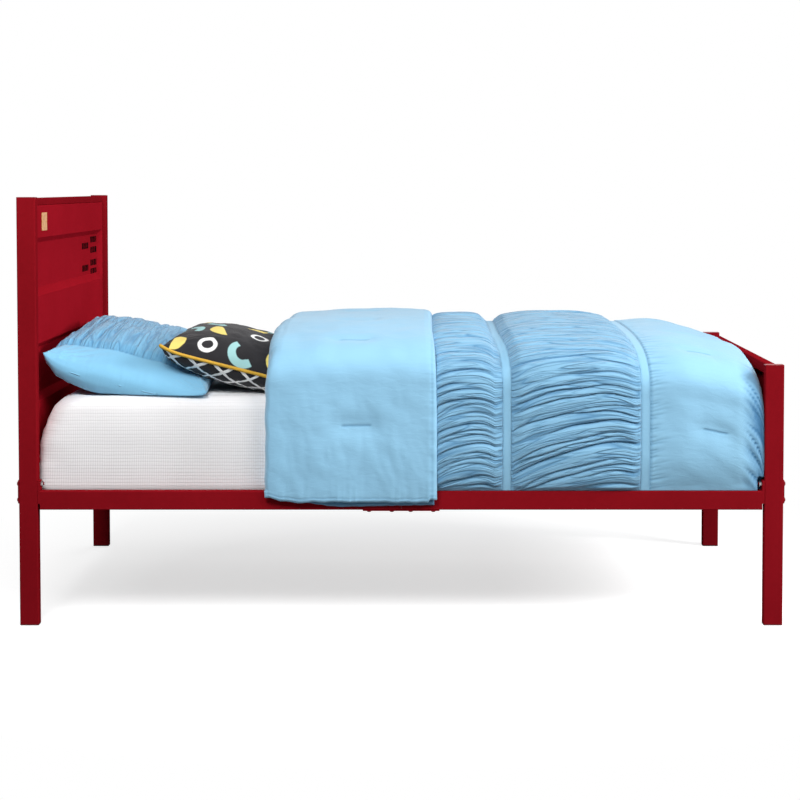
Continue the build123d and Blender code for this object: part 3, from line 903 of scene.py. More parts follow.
# %% Gathers
# Each band: its place along the bed, its width, and how far back it runs over the crown
bands = ((0.281, 0.022, 0.022), (0.648, 0.024, 0.012))
band_edges = [at + side * width / 2 for at, width, _ in bands for side in (-1, 1)]
# Heights above the mattress: at the bands, of the swell between them, and at the foot
seam_crest = 0.153
puffs = (0.02, 0.024)
foot_crest = 0.103
fold_edge = 0.095  # where the fold-over ends, along the bed
foot_end = comforter_high.x


def crease_lines(start, stop, reach, low, high, pitch, seed):
    """Chooses the creases of a gathered panel that lies between seams at start and stop.

    Each crease begins at one of the seams and fades out at the end of its reach."""
    dice = np.random.default_rng(seed)
    count = round((high - low) / pitch)
    return {
        "across": np.linspace(low, high, count) + dice.uniform(-0.45, 0.45, count) * pitch,
        "seam": np.where(dice.uniform(0, 1, count) < 0.5, start, stop),
        "middle": (start + stop) / 2,
        "reach": dice.uniform(*reach, count),
        "depth": dice.uniform(0.4, 1.0, count),
        "width": dice.uniform(0.0018, 0.0046, count),
        "tilt": dice.normal(0, 0.035, count),
        "wave": dice.uniform(0.0005, 0.0032, count),
        "turn": dice.uniform(0.014, 0.036, count),
        "phase": dice.uniform(0, 2 * math.pi, count),
    }


def creased(lines, x, v, slope):
    """How deep into the creases each place is, from 0 to 1, and a narrow mask of their bottoms."""
    x, v, slope = x[:, None], v[:, None], slope[:, None]
    centre = lines["across"] + (slope + lines["tilt"]) * (x - lines["middle"])
    centre = centre + lines["wave"] * np.sin(x / lines["turn"] + lines["phase"])
    gap = np.abs(v - centre)
    left = 1 - np.abs(x - lines["seam"]) / lines["reach"]
    depth = lines["depth"] * np.clip(left / 0.5, 0, 1)
    deep = 1 - np.prod(1 - 0.92 * depth * np.exp(-gap / lines["width"]), axis=1)
    narrow = 0.4 * lines["width"] + 0.0011
    bottom = np.max(depth * np.exp(-((gap / narrow) ** 2)), axis=1)
    return deep, bottom


half_girth = 0.98  # from the crown to a hem
seam_pitch = 0.0095


def ruched_panel(start, stop, pitch, seed):
    """The creases of one ruched panel: long ones across it and short puckers at its seams."""
    length = stop - start
    reach = (0.6 * length, 1.8 * length)
    return {
        "start": start,
        "stop": stop,
        "long": crease_lines(start, stop, reach, -half_girth, half_girth, pitch, seed),
        "short": crease_lines(start, stop, (0.02, 0.07), -half_girth, half_girth, seam_pitch, seed + 1),
        "seed": seed + 2,
    }


panels = [
    ruched_panel(fold_edge - 0.02, band_edges[0], 0.02, 11),
    ruched_panel(band_edges[1], band_edges[2], 0.024, 21),
]
foot_puckers = crease_lines(
    band_edges[3], band_edges[3], (0.02, 0.09), -half_girth, half_girth, 0.011, 31
)


def climb(v):
    """How steeply the creases climb towards the foot, which they do on the sides."""
    return -np.sign(v) * (0.03 + 0.22 * ease(np.abs(v), 0.4, 0.85))


def gathered(x, v, panel):
    """Height of the gathers of one panel, and how deep in a crease each place is."""
    inside = np.minimum(x - panel["start"], panel["stop"] - x)
    within = inside > 0
    inside = np.maximum(inside, 0)
    slope = climb(v)
    deep, bottom = creased(panel["long"], x, v, slope)
    short_deep, short_bottom = creased(panel["short"], x, v, slope)
    near = np.exp(-inside / 0.03)
    swollen = 0.004 * cloth_noise(v / 0.06, x / 0.2, panel["seed"])
    height = ease(inside, 0.0, 0.028) * (0.0115 * (1 - deep) + swollen - 0.003)
    height += ease(inside, 0.0, 0.005) * 0.0042 * near * (1 - short_deep)
    # The crease bottoms go into the mask that paints shade.
    crease = ease(inside, 0.0, 0.006) * np.maximum(bottom, 0.8 * near * short_bottom)
    return np.where(within, height, 0), np.where(within, crease, 0)


def tack(x, v, at_x, at_v, length):
    """The dimple round one tacking stitch, and the mask of the stitch."""
    along = np.maximum(np.abs(x - at_x) - length / 2, 0)
    across = np.abs(v - at_v)
    dimple = 0.006 * np.exp(-((along / 0.03) ** 2) - (across / 0.03) ** 2)
    stitch = np.exp(-((across / 0.0028) ** 2) - (along / 0.004) ** 2)
    return dimple + 0.002 * stitch, stitch


def tacked(x, v, tacks, length):
    """Depth and mask of all the tacking stitches of a panel, on both sides of the crown."""
    depth, mask = np.zeros(len(v)), np.zeros(len(v))
    for at_x, at_v in tacks:
        for side in (-1, 1):
            dimple, stitch = tack(x, v, at_x, side * at_v, length)
            depth += dimple
            mask += 0.6 * stitch
    return depth, mask


# Tacks: place along the bed, and distance round the girth from the crown
body_tacks = ((0.80, 0.178), (0.805, 0.44), (0.832, 0.7))
fold_tacks = ((-0.127, 0.18), (-0.127, 0.458), (-0.118, 0.738))
print("creases of the ruched panels", [len(panel["long"]["across"]) for panel in panels])

# %% [markdown]
# ## Comforter: the body
#
# The long part is one pad, built section by section from under the fold-over to the foot. A section is
# the girth line raised by its gathers, its stitched lines and its tacks, and below it the lining follows
# the mattress. Building it along its length keeps every crease on a line of the cloth.


# %% Comforter body
def swell(x):
    """How far each ruched panel has risen between its bands, from 0 at a band to 1."""
    shares = [(x - panel["start"]) / (panel["stop"] - panel["start"]) for panel in panels]
    return [1 - abs(2 * share - 1) ** 3.2 if 0 < share < 1 else 0.0 for share in shares]


def drawn_back(x):
    """How far back each band runs over the crown, at one place along the bed."""
    return [back * math.exp(-(((x - at) / 0.2) ** 2)) for at, _, back in bands]


def body_section(x):
    """Half width and crest height of the comforter at one place along the bed."""
    crown_x = x + sum(drawn_back(x))
    crest = seam_crest + sum(puff * part for puff, part in zip(puffs, swell(crown_x)))
    half = rail_outer + 0.006 + 0.008 * sum(swell(x))
    if x > band_edges[3]:
        share = (x - band_edges[3]) / (foot_end - band_edges[3])
        rise = 0.006 * math.sin(min(share / 0.6, 1) * math.pi)
        crest = seam_crest + rise - (seam_crest - foot_crest) * share**2.6
        drop = max(x - (foot_end - 0.03), 0) / 0.03
        crest -= 0.032 * (1 - math.sqrt(max(1 - drop**2, 0)))
        half = rail_outer + 0.006 + 0.009 * math.sin(min(share / 0.35, 1) * math.pi / 2)
        half -= 0.024 * max((x - (foot_end - 0.075)) / 0.075, 0) ** 1.6
    return half, crest


def foot_surface(x, v):
    """Height of the plain foot panel, with puckers at its band, and how creased each place is."""
    past = np.maximum(x - band_edges[3], 0)
    plain = ease(past, 0.0, 0.05)
    deep, bottom = creased(foot_puckers, x, v, np.zeros(len(v)))
    puckered = (past > 0) * np.exp(-past / 0.04)
    height = 0.0035 * puckered * (1 - deep) * ease(past, 0.0, 0.006)
    height += plain * 0.005 * cloth_noise(v / 0.19 + 3, x / 0.17, 42)
    height += plain * 0.001 * cloth_noise(v / 0.05, x / 0.05 + v / 0.12, 43)
    # Cloth pushed in behind the foot post stands in steep folds
    tucked = ease(x, foot_end - 0.07, foot_end - 0.015) * ease(np.abs(v), 0.42, 0.5)
    steep = np.abs(cloth_noise(v / 0.035 + x / 0.07, x / 0.09, 44))
    height += tucked * (0.01 * steep - 0.004)
    # The mask paints shade into the pucker bottoms and over the cloth tucked behind the foot post.
    crease = 0.6 * puckered * bottom
    crease += tucked * 0.75 * np.exp(-((steep / 0.2) ** 2)) + 0.6 * tucked
    return height, crease


def body_surface(x, v):
    """Height, crease and gather masks of the body's cloth, and its flat place across the gathers."""
    height, crease = foot_surface(x, v)
    gather, pattern_v = np.zeros(len(v)), v.copy()
    for panel in panels:
        raised, deepened = gathered(x, v, panel)
        height += raised
        crease += deepened
        inside = (x > panel["start"]) & (x < panel["stop"])
        gather += inside
        middle = (panel["start"] + panel["stop"]) / 2
        pattern_v -= np.where(inside, climb(v) * (x - middle), 0)
    stitched = sum(np.exp(-(((x - edge) / 0.0022) ** 2)) for edge in band_edges)
    dimples, stitches = tacked(x, v, body_tacks, 0.055)
    height -= 0.0016 * stitched + dimples
    crease += 0.3 * stitched + stitches
    return height, crease, gather, pattern_v


def make_body():
    """The long part of the comforter, from under the fold-over to the foot."""
    start = fold_edge - 0.034
    xs = spaced(start, foot_end, 0.0072, 0.0024, [*band_edges, foot_end], 0.02)
    rows, columns = len(xs), 840
    spots = np.linspace(0, 1, columns)
    outer, inner = np.empty((2, rows, columns, 3))
    flat = np.empty((rows, columns, 2))
    shade_and_seams, gather = np.zeros((2, rows, columns))
    room = mattress_high.y + 0.002
    plate_top, plate_clear = rail_top + 0.036, mattress_high.y + 0.009
    for i, x in enumerate(xs):
        half, crest = body_section(x)
        base_half = min(rail_outer - 0.004, half - 0.002)
        y, z, out_y, out_z, v = girth(half, crest, base_half, rail_top + hair, spots)
        crown = ease(0.62 - np.abs(v), 0.0, 0.45)
        place = np.full(columns, x)
        height, shade_and_seams[i], gather[i], pattern_v = body_surface(place + crown * sum(drawn_back(x)), v)
        # The hems stay where they rest on the rail
        height *= ease(np.minimum(spots, 1 - spots), 0.0, 0.012) * ease(foot_end - x, 0.0, 0.014)
        # Ridges lean towards the hem a little, so that each casts a line of shade below it
        lean_down = 0.6 * height * ease(np.abs(v), 0.25, 0.6) * np.sign(v)
        outer_y = y + out_y * height + out_z * lean_down
        outer_z = np.maximum(z + out_z * height - out_y * lean_down, rail_top + hair)
        # At the foot the cloth stays inside the end plates, which stand above the rails
        beside_plate = (outer_z < plate_top) & (x > foot_end - 0.018)
        outer_y = np.where(beside_plate, np.clip(outer_y, -plate_clear, plate_clear), outer_y)
        outer[i] = np.stack([place, outer_y, outer_z], axis=1)
        flat[i] = np.stack([place, pattern_v], axis=1)
        on_side = np.abs(y) > half - 0.06
        inner_y = np.where(on_side, np.sign(y) * room, np.clip(y * 0.93, -room, room))
        inner_z = np.clip(z - 0.03, rail_top + hair, mattress_top + hair)
        inner_z = np.where(on_side, np.minimum(z, mattress_top + hair), inner_z)
        inner[i] = np.stack([place, inner_y, inner_z], axis=1)
    mesh = pad_piece(outer, inner, flat, np.minimum(shade_and_seams, 1), 8, gather)
    return add_piece("comforter_body", mesh, [comforter_blue], ("comforter",))


make_body()

# %% [markdown]
# ## Cushions: two panels sewn together and filled
#
# A cushion is two flat panels sewn together round their edge and then filled. Its middle stands up full
# and round, its seams are drawn in between the corners, and the corners stay behind as flat ears. The
# mesh says the same: two grids joined at their edges, lifted by one formula that is steep at the seam.
# Then short pleats run in from the seam, and the cushion leans and is pressed where it lies on something.


# %% Fill a cushion
def sewn_cloth(name, cell, size):
    """Two panels sewn at their edges: the mesh, each place's shares of the way out, and its panel."""
    across, along = [round(part / cell) for part in size]
    bm, _ = two_layers(across, along)
    mesh = mesh_from(bm, name)
    places = read_points(mesh)
    # The cells get smaller towards the seam, where the cloth turns down
    sx, sy = [np.sin(places[:, n] * math.pi / 2) for n in (0, 1)]
    return mesh, sx, sy, places[:, 2] > 0.5


def fall(share, power, fullness):
    """How high a filled panel stands at a share of the way from its middle (0) to its seam (1)."""
    return np.clip(1 - np.abs(share) ** power, 0, 1) ** fullness


def filled(sx, sy, upper, size, crown, belly, end_fullness, ears):
    """Places of a filled cushion with drawn-in seams and raised ears.

    The fullness of its two ends is given apart, for -Y and for +Y: a low one is plump, a high one flat."""
    near_end, far_end = [fall(sy, 2.8, fullness) for fullness in end_fullness]
    dome = fall(sx, 2.5, 0.5) * np.where(sy < 0, near_end, far_end)
    x = sx * size[0] / 2 * (1 - 0.06 * (1 - sy**2))
    y = sy * size[1] / 2 * (1 - 0.045 * (1 - sx**2))
    z = np.where(upper, crown, -belly) * dome + np.where(upper, 0.0008, -0.0008)
    return np.stack([x, y, z + ears * np.abs(sx * sy) ** 8], axis=1)


def cloth_run(share, half, rise, power, fullness):
    """Length of cloth from the middle of a filled panel, for the pattern printed on it."""
    steps = np.sin(np.linspace(0, 1, 300) * math.pi / 2)
    run = np.hypot(np.diff(steps) * half, np.diff(fall(steps, power, fullness)) * rise)
    run = np.concatenate([[0], np.cumsum(run)])
    return np.sign(share) * np.interp(np.abs(share), steps, run)


def pleats(sx, sy, size, depth, seed):
    """Short pleats that run in from the seams, and longer ones from the corners."""
    half_x, half_y = size[0] / 2, size[1] / 2
    to_side, to_end = half_x * (1 - np.abs(sx)), half_y * (1 - np.abs(sy))
    pitch, length = 0.016, 0.035
    from_end = np.abs(cloth_noise(sx * half_x / pitch, sy * 3, seed)) * np.exp(-to_end / length)
    from_side = np.abs(cloth_noise(sy * half_y / pitch, sx * 3, seed + 1)) * np.exp(-to_side / length)
    rim = ease(np.minimum(to_side, to_end), 0.0, 0.012)
    away = np.hypot(to_side, to_end)
    which_corner = np.sign(sx) * 3 + np.sign(sy) * 7
    fan = np.abs(cloth_noise(np.arctan2(to_side, to_end) / 0.22, which_corner, seed + 2))
    corner = fan * np.exp(-away / 0.09) * ease(away, 0.015, 0.05)
    return rim * depth * (from_end + from_side + 1.6 * corner)


def lean(places, tilt, roll, centre):
    """Turns a cushion: tilt lifts its head end and roll its left end, in degrees."""
    turn = Euler((math.radians(roll), math.radians(tilt), 0)).to_matrix()
    return places @ np.array(turn).T + np.array(centre)


def rest_on(places, level, softness=0.006):
    """Presses a cushion flat where it lies on a level surface, with a soft edge to the flat."""
    above = places[:, 2] - level
    pressed = softness * np.exp(np.clip(above - softness, -1, 0) / softness)
    places[:, 2] = level + np.where(above > softness, above, pressed)
    return places


# %% [markdown]
# ## Printed cotton
#
# The square cushion has a dark printed front, a dark back with a pale lattice and a mustard piping in its
# seam. Its print is a generic one of plain round shapes in pale yellow, teal and white. Each shape is a
# mask worked out from the flat cloth's own coordinates, so it bends and creases with the panel.


# %% Printed cotton
def disc(tree, place, at, radius, edge=0.0012):
    """A mask that is 1 inside a circle on the flat cloth."""
    far = vector_node(tree, "DISTANCE", place, (*at, 0)).outputs["Value"]
    return remap(tree, far, radius - edge, radius + edge, 1, 0)


def ring(tree, place, at, outer, inner):
    """A mask that is 1 between two circles round one place."""
    return math_node(tree, "SUBTRACT", disc(tree, place, at, outer), disc(tree, place, at, inner))


def beyond(tree, place, at, degrees, edge=0.0012):
    """A mask that is 1 on one side of a straight line through a point."""
    direction = (math.cos(math.radians(degrees)), math.sin(math.radians(degrees)), 0)
    reach = vector_node(tree, "DOT_PRODUCT", place, direction).outputs["Value"]
    start = at[0] * direction[0] + at[1] * direction[1]
    return remap(tree, reach, start - edge, start + edge, 0, 1)


def cotton_shader(tree, shader, uv, colour):
    """The dull surface of printed cotton under its colours."""
    threads = use_group(tree, weave, uv, pitch_along=0.0014, pitch_across=0.0014)
    wrinkles = noise_node(tree, uv, 28, detail=4)
    soft = bump_from(tree, wrinkles.outputs["Fac"], 0.003, 0.5)
    tree.links.new(bump_from(tree, threads.outputs["Height"], 0.0002, 0.5, soft), shader.inputs["Normal"])
    tree.links.new(colour, shader.inputs["Base Color"])
    surface(shader, roughness=0.88, specular=0.2, sheen=0.12)


white = (246, 246, 244)
pale_yellow, pale_teal, mustard = (236, 214, 118), (158, 204, 204), (224, 178, 72)


def print_front(name):
    """The front print: half discs, arcs and rings spread evenly on black."""
    material, tree, shader, places = new_material(name)
    uv = places.outputs["UV"]
    cloud = use_group(tree, patches, uv, size=0.05)
    colour = mix_colours(tree, cloud.outputs["Tone"], linear(30, 29, 31), linear(48, 47, 50))
    pitch = 0.104
    for n in range(25):
        row, column = divmod(n, 5)
        at = (pitch * (row - 2) + 0.026 * (column % 2), pitch * (column - 2))
        if n % 3 == 0:
            cut = beyond(tree, uv, at, 70 * row + 130 * column)
            shape, tint = math_node(tree, "MULTIPLY", disc(tree, uv, at, 0.042), cut), pale_yellow
        elif n % 3 == 1:
            cut = beyond(tree, uv, at, 110 * row + 50 * column)
            shape, tint = math_node(tree, "MULTIPLY", ring(tree, uv, at, 0.046, 0.024), cut), pale_teal
        else:
            shape, tint = ring(tree, uv, at, 0.027, 0.016), white
        colour = mix_colours(tree, shape, colour, linear(*tint))
    cotton_shader(tree, shader, uv, colour)
    return material


def lattice_back(name):
    """The back: a white diamond lattice with slightly uneven lines on black."""
    material, tree, shader, places = new_material(name)
    uv = places.outputs["UV"]
    bent = swayed(tree, uv, 22, (0.012, 0.012, 0))
    spacing = 0.047
    lines = []
    for degrees in (50, 130):
        direction = (math.cos(math.radians(degrees)), math.sin(math.radians(degrees)), 0)
        reach = vector_node(tree, "DOT_PRODUCT", bent, direction).outputs["Value"]
        part = math_node(tree, "PINGPONG", math_node(tree, "DIVIDE", reach, spacing), 0.5)
        lines.append(remap(tree, part, 0.085, 0.1, 1, 0))
    lattice = math_node(tree, "MAXIMUM", lines[0], lines[1])
    cloud = use_group(tree, patches, uv, size=0.05)
    ground = mix_colours(tree, cloud.outputs["Tone"], linear(30, 29, 31), linear(46, 45, 48))
    cotton_shader(tree, shader, uv, mix_colours(tree, lattice, ground, linear(*white)))
    return material


def piping_cotton(name):
    """Mustard cotton, as it is wrapped round a cord."""
    material, tree, shader, places = new_material(name)
    place = places.outputs["Object"]
    cloud = use_group(tree, patches, place, size=0.03)
    shaded = [part - 26 for part in mustard]
    colour = mix_colours(tree, cloud.outputs["Tone"], linear(*mustard), linear(*shaded))
    cotton_shader(tree, shader, place, colour)
    return material


# %% [markdown]
# ## The square cushion
#
# The cushion stands on its lower edge and leans back against the pillow. It is laid before the pillow,
# because the pillow and the comforter give way to it. Its piping is a cord in a slanted strip of cloth,
# so it is a thin tube that follows the seam all the way round.


# %% Lay the square cushion
cushion_size = (0.44, 0.44)
cushion_crown, cushion_belly = 0.09, 0.062
press_level = mattress_top + 0.001
cushion_low, cushion_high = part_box("cushion_print")
cushion_middle = ((cushion_low.x + cushion_high.x) / 2, (cushion_low.y + cushion_high.y) / 2)


def make_cushion():
    """The square cushion, which leans on the pillow."""
    mesh, sx, sy, upper = sewn_cloth("cushion_print_cloth", 0.0048, cushion_size)
    places = filled(sx, sy, upper, cushion_size, cushion_crown, cushion_belly, (0.5, 0.5), 0.012)
    half = cushion_size[0] / 2
    inwards = ease(half * (1 - np.maximum(np.abs(sx), np.abs(sy))), 0.0, 0.03)
    soft = 0.0035 * cloth_noise(sx * half / 0.09, sy * half / 0.09, 51)
    bent = np.abs(cloth_noise(sx * half / 0.06 + sy * half / 0.1, sy * half / 0.05, 52))
    raised = pleats(sx, sy, cushion_size, 0.006, 53) + inwards * (soft + 0.004 * bent)
    places[:, 2] += np.where(upper, raised, -raised)
    places = lean(places, 14.2, 0, (*cushion_middle, mattress_top + 0.068))
    places = rest_on(places, press_level)
    mesh.vertices.foreach_set("co", places.ravel())
    top_run = [cloth_run(share, half, cushion_crown, 2.5, 0.5) for share in (sx, sy)]
    under_run = [cloth_run(share, half, cushion_belly, 2.5, 0.5) for share in (sx, sy)]
    set_uv(mesh, np.where(upper[:, None], np.stack(top_run, axis=1), np.stack(under_run, axis=1)))
    face_outwards(mesh)
    prints = [print_front("cushion_front"), lattice_back("cushion_back")]
    piece = add_piece("cushion_print_cloth", mesh, prints, ("cushion_print",))
    on_top = [all(upper[n] for n in polygon.vertices) for polygon in mesh.polygons]
    mesh.polygons.foreach_set("material_index", [0 if top else 1 for top in on_top])
    seam = upper & (np.maximum(np.abs(sx), np.abs(sy)) > 0.99999)
    around = np.arctan2(sy[seam], sx[seam])
    return piece, places[seam][np.argsort(around)]


def make_piping(ring):
    """A cord in a strip of cloth, sewn into the seam."""
    centre = ring.mean(axis=0)
    curve = bpy.data.curves.new("piping", "CURVE")
    curve.dimensions = "3D"
    curve.bevel_depth = 0.0046
    curve.bevel_resolution = 3
    spline = curve.splines.new("POLY")
    spline.points.add(len(ring) - 1)
    for point, place in zip(spline.points, ring):
        outwards = (place - centre) / np.linalg.norm(place - centre)
        point.co = (*(place + outwards * 0.002), 1)
    spline.use_cyclic_u = True
    holder = bpy.data.objects.new("piping", curve)
    bpy.context.scene.collection.objects.link(holder)
    shown = holder.evaluated_get(bpy.context.evaluated_depsgraph_get())
    mesh = bpy.data.meshes.new_from_object(shown)
    bpy.data.objects.remove(holder)
    places = read_points(mesh)
    places[:, 2] = np.maximum(places[:, 2], mattress_top + hair)
    mesh.vertices.foreach_set("co", places.ravel())
    mesh.materials.clear()
    face_outwards(mesh)
    return add_piece("cushion_piping", mesh, [piping_cotton("piping_mustard")])


cushion, seam_ring = make_cushion()
make_piping(seam_ring)
cushion_tree = BVHTree.FromPolygons(
    [vertex.co for vertex in cushion.data.vertices],
    [polygon.vertices for polygon in cushion.data.polygons],
)

# %% [markdown]
# ## The blue pillow
#
# The long pillow is plain at its ends and gathered in between, with the gathers running along it. It is
# filled in the same way. Then the gathered part is raised in folds, and the pillow is pushed in wherever
# the square cushion leans on it.


# %% Lay the pillow
pillow_low, pillow_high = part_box("pillow_blue")
pillow_length, pillow_width = 0.69, 0.45


def pushed_out_of(places, tree, gap):
    """Moves every place that is inside a closed shape straight down to just below it."""
    for n, place in enumerate(places):
        start = Vector(place)
        above = tree.ray_cast(start, Vector((0, 0, 1)))
        below = tree.ray_cast(start, Vector((0, 0, -1)))
        if above[0] is None:
            continue
        inside = above[1].z > 0
        if inside and below[0] is not None:
            places[n, 2] = below[0].z - gap
        elif above[3] < gap:
            places[n, 2] = above[0].z - gap
    return places


def make_pillow():
    """The long blue pillow, which leans on the headboard."""
    size = (pillow_width, pillow_length)
    mesh, sx, sy, upper = sewn_cloth("pillow_blue_cloth", 0.0042, size)
    places = filled(sx, sy, upper, size, 0.074, 0.07, (0.4, 0.8), 0.012)
    # The near end hangs down between its corners, so that its rounded side meets the mattress
    places[:, 2] -= 0.03 * ease(-sy, 0.3, 1.0) * (1 - sx**4)
    across, along = sx * pillow_width / 2, sy * pillow_length / 2
    seam_at = pillow_length / 2 - 0.095
    inside = np.clip(seam_at - np.abs(along), 0, None)
    within = upper & (np.abs(along) < seam_at)
    reach = 0.22
    ruches = crease_lines(-seam_at, seam_at, (0.15, 0.8), -reach, reach, 0.017, 61)
    puckers = crease_lines(-seam_at, seam_at, (0.02, 0.06), -reach, reach, seam_pitch, 62)
    deep, bottom = creased(ruches, along, across, np.zeros(len(along)))
    short_deep, short_bottom = creased(puckers, along, across, np.zeros(len(along)))
    near = np.exp(-inside / 0.03)
    rim = ease(pillow_width / 2 - np.abs(across), 0.0, 0.02)
    height = rim * ease(inside, 0.0, 0.02) * 0.011 * (1 - deep)
    height += rim * ease(inside, 0.0, 0.004) * 0.005 * near * (1 - short_deep)
    height = np.where(within, height, 0) + pleats(sx, sy, size, 0.006, 63)
    height += rim * 0.004 * cloth_noise(across / 0.1, along / 0.12, 64)
    places[:, 2] += np.where(upper, height, -height)
    # Crease bottoms get painted shade through this mask, and the seam line is darker too.
    crease = np.maximum(bottom * ease(inside, 0.0, 0.01), 0.8 * near * short_bottom) * within
    crease += 0.5 * np.exp(-(((np.abs(along) - seam_at) / 0.002) ** 2)) * upper
    middle = ((pillow_low.x + pillow_high.x) / 2, (pillow_low.y + pillow_high.y) / 2)
    places = lean(places, 13.5, 3.5, (*middle, mattress_top + 0.074))
    places = rest_on(places, press_level)
    places = pushed_out_of(places, cushion_tree, 0.002)
    mesh.vertices.foreach_set("co", places.ravel())
    set_uv(mesh, np.stack([along, across], axis=1))
    set_mask(mesh, "shade_and_seams", np.minimum(crease, 1))
    # Gathered cloth is painted a little darker, as shade among its folds.
    set_mask(mesh, "gather", within * rim)
    face_outwards(mesh)
    return add_piece("pillow_blue_cloth", mesh, [pillow_blue], ("pillow_blue",))


make_pillow()

# %% [markdown]
# ## Comforter: the fold-over
#
# At the head the comforter is folded back on itself. This double layer is thick and smooth, has a round
# fold towards the pillows and hangs outside the side rails, where the lining below shows in the shade.
# The flap starts where the fold meets the cushion, so its inner surface is lifted over the cushion first.


# %% Fold-over
def lining_height(x, y):
    """How high the fold's lining lies: on the mattress, or on the cushion where it is in the way."""
    level = mattress_top + hair
    hit = cushion_tree.ray_cast(Vector((x, y, 2.0)), Vector((0, 0, -1)))
    if hit[0] is not None:
        level = max(level, hit[0].z + 0.004)
    return level


def fold_surface(x, v):
    """Height of the fold-over's waves, seams and tacks, and how creased each place is."""
    height = 0.0045 * cloth_noise(v / 0.21, x / 0.17 + 4, 71)
    height += 0.0014 * cloth_noise(v / 0.06, x / 0.05, 72)
    creases = np.abs(cloth_noise(v / 0.09 + x / 0.05, x / 0.05 - v / 0.2, 73))
    height += 0.0016 * creases * ease(np.abs(v), 0.5, 0.85)
    # The hem is round and puckered, with a stitched line just inside it
    hem, hem_seam = v.max() - np.abs(v), 0.012
    round_edge = 1 - np.clip(hem / 0.01, 0, 1)
    height -= 0.009 * (1 - np.sqrt(1 - round_edge**2))
    height += 0.004 * np.abs(cloth_noise(x / 0.016, v / 0.3, 74)) * np.exp(-hem / 0.025)
    height -= 0.001 * np.exp(-(((hem - hem_seam) / 0.0022) ** 2))
    # The foot edge has such a line too
    to_edge, edge_seam = fold_edge - x, 0.013
    height -= 0.0014 * np.exp(-(((to_edge - edge_seam) / 0.003) ** 2))
    puckers = np.abs(cloth_noise(v / 0.014, x / 0.2, 75))
    height += 0.0022 * puckers * np.exp(-np.abs(to_edge - edge_seam) / 0.012)
    dimples, mask = tacked(x, v, fold_tacks, 0.07)
    mask += 0.2 * np.exp(-(((hem - hem_seam) / 0.003) ** 2))
    mask += 0.25 * np.exp(-(((to_edge - edge_seam) / 0.003) ** 2))
    return height - dimples, mask


def fold_lining(x, y, z, half):
    """Places of the fold-over's inner surface, and which of them hang beside the rail."""
    room, layer_room = mattress_high.y + 0.002, rail_outer + 0.0125
    hanging = z < rail_top + 0.003
    beside = np.abs(y) > half - 0.05
    inner_y = np.where(hanging, np.sign(y) * layer_room, np.clip(y * 0.9, -room, room))
    inner_y = np.where(beside & ~hanging, np.sign(y) * room, inner_y)
    inner_z = np.where(beside, np.minimum(z, mattress_top + hair), mattress_top + hair)
    inner_z = np.where(hanging, z, np.maximum(inner_z, rail_top + hair))
    for j in np.nonzero(~beside)[0]:
        inner_z[j] = lining_height(x[j], inner_y[j])
    return inner_y, inner_z, hanging


def rounded(turns, squareness):
    """Points on a squarish quarter circle: how far out and how far up at each turn."""
    return [(math.cos(a) ** (2 / squareness), math.sin(a) ** (2 / squareness)) for a in turns]


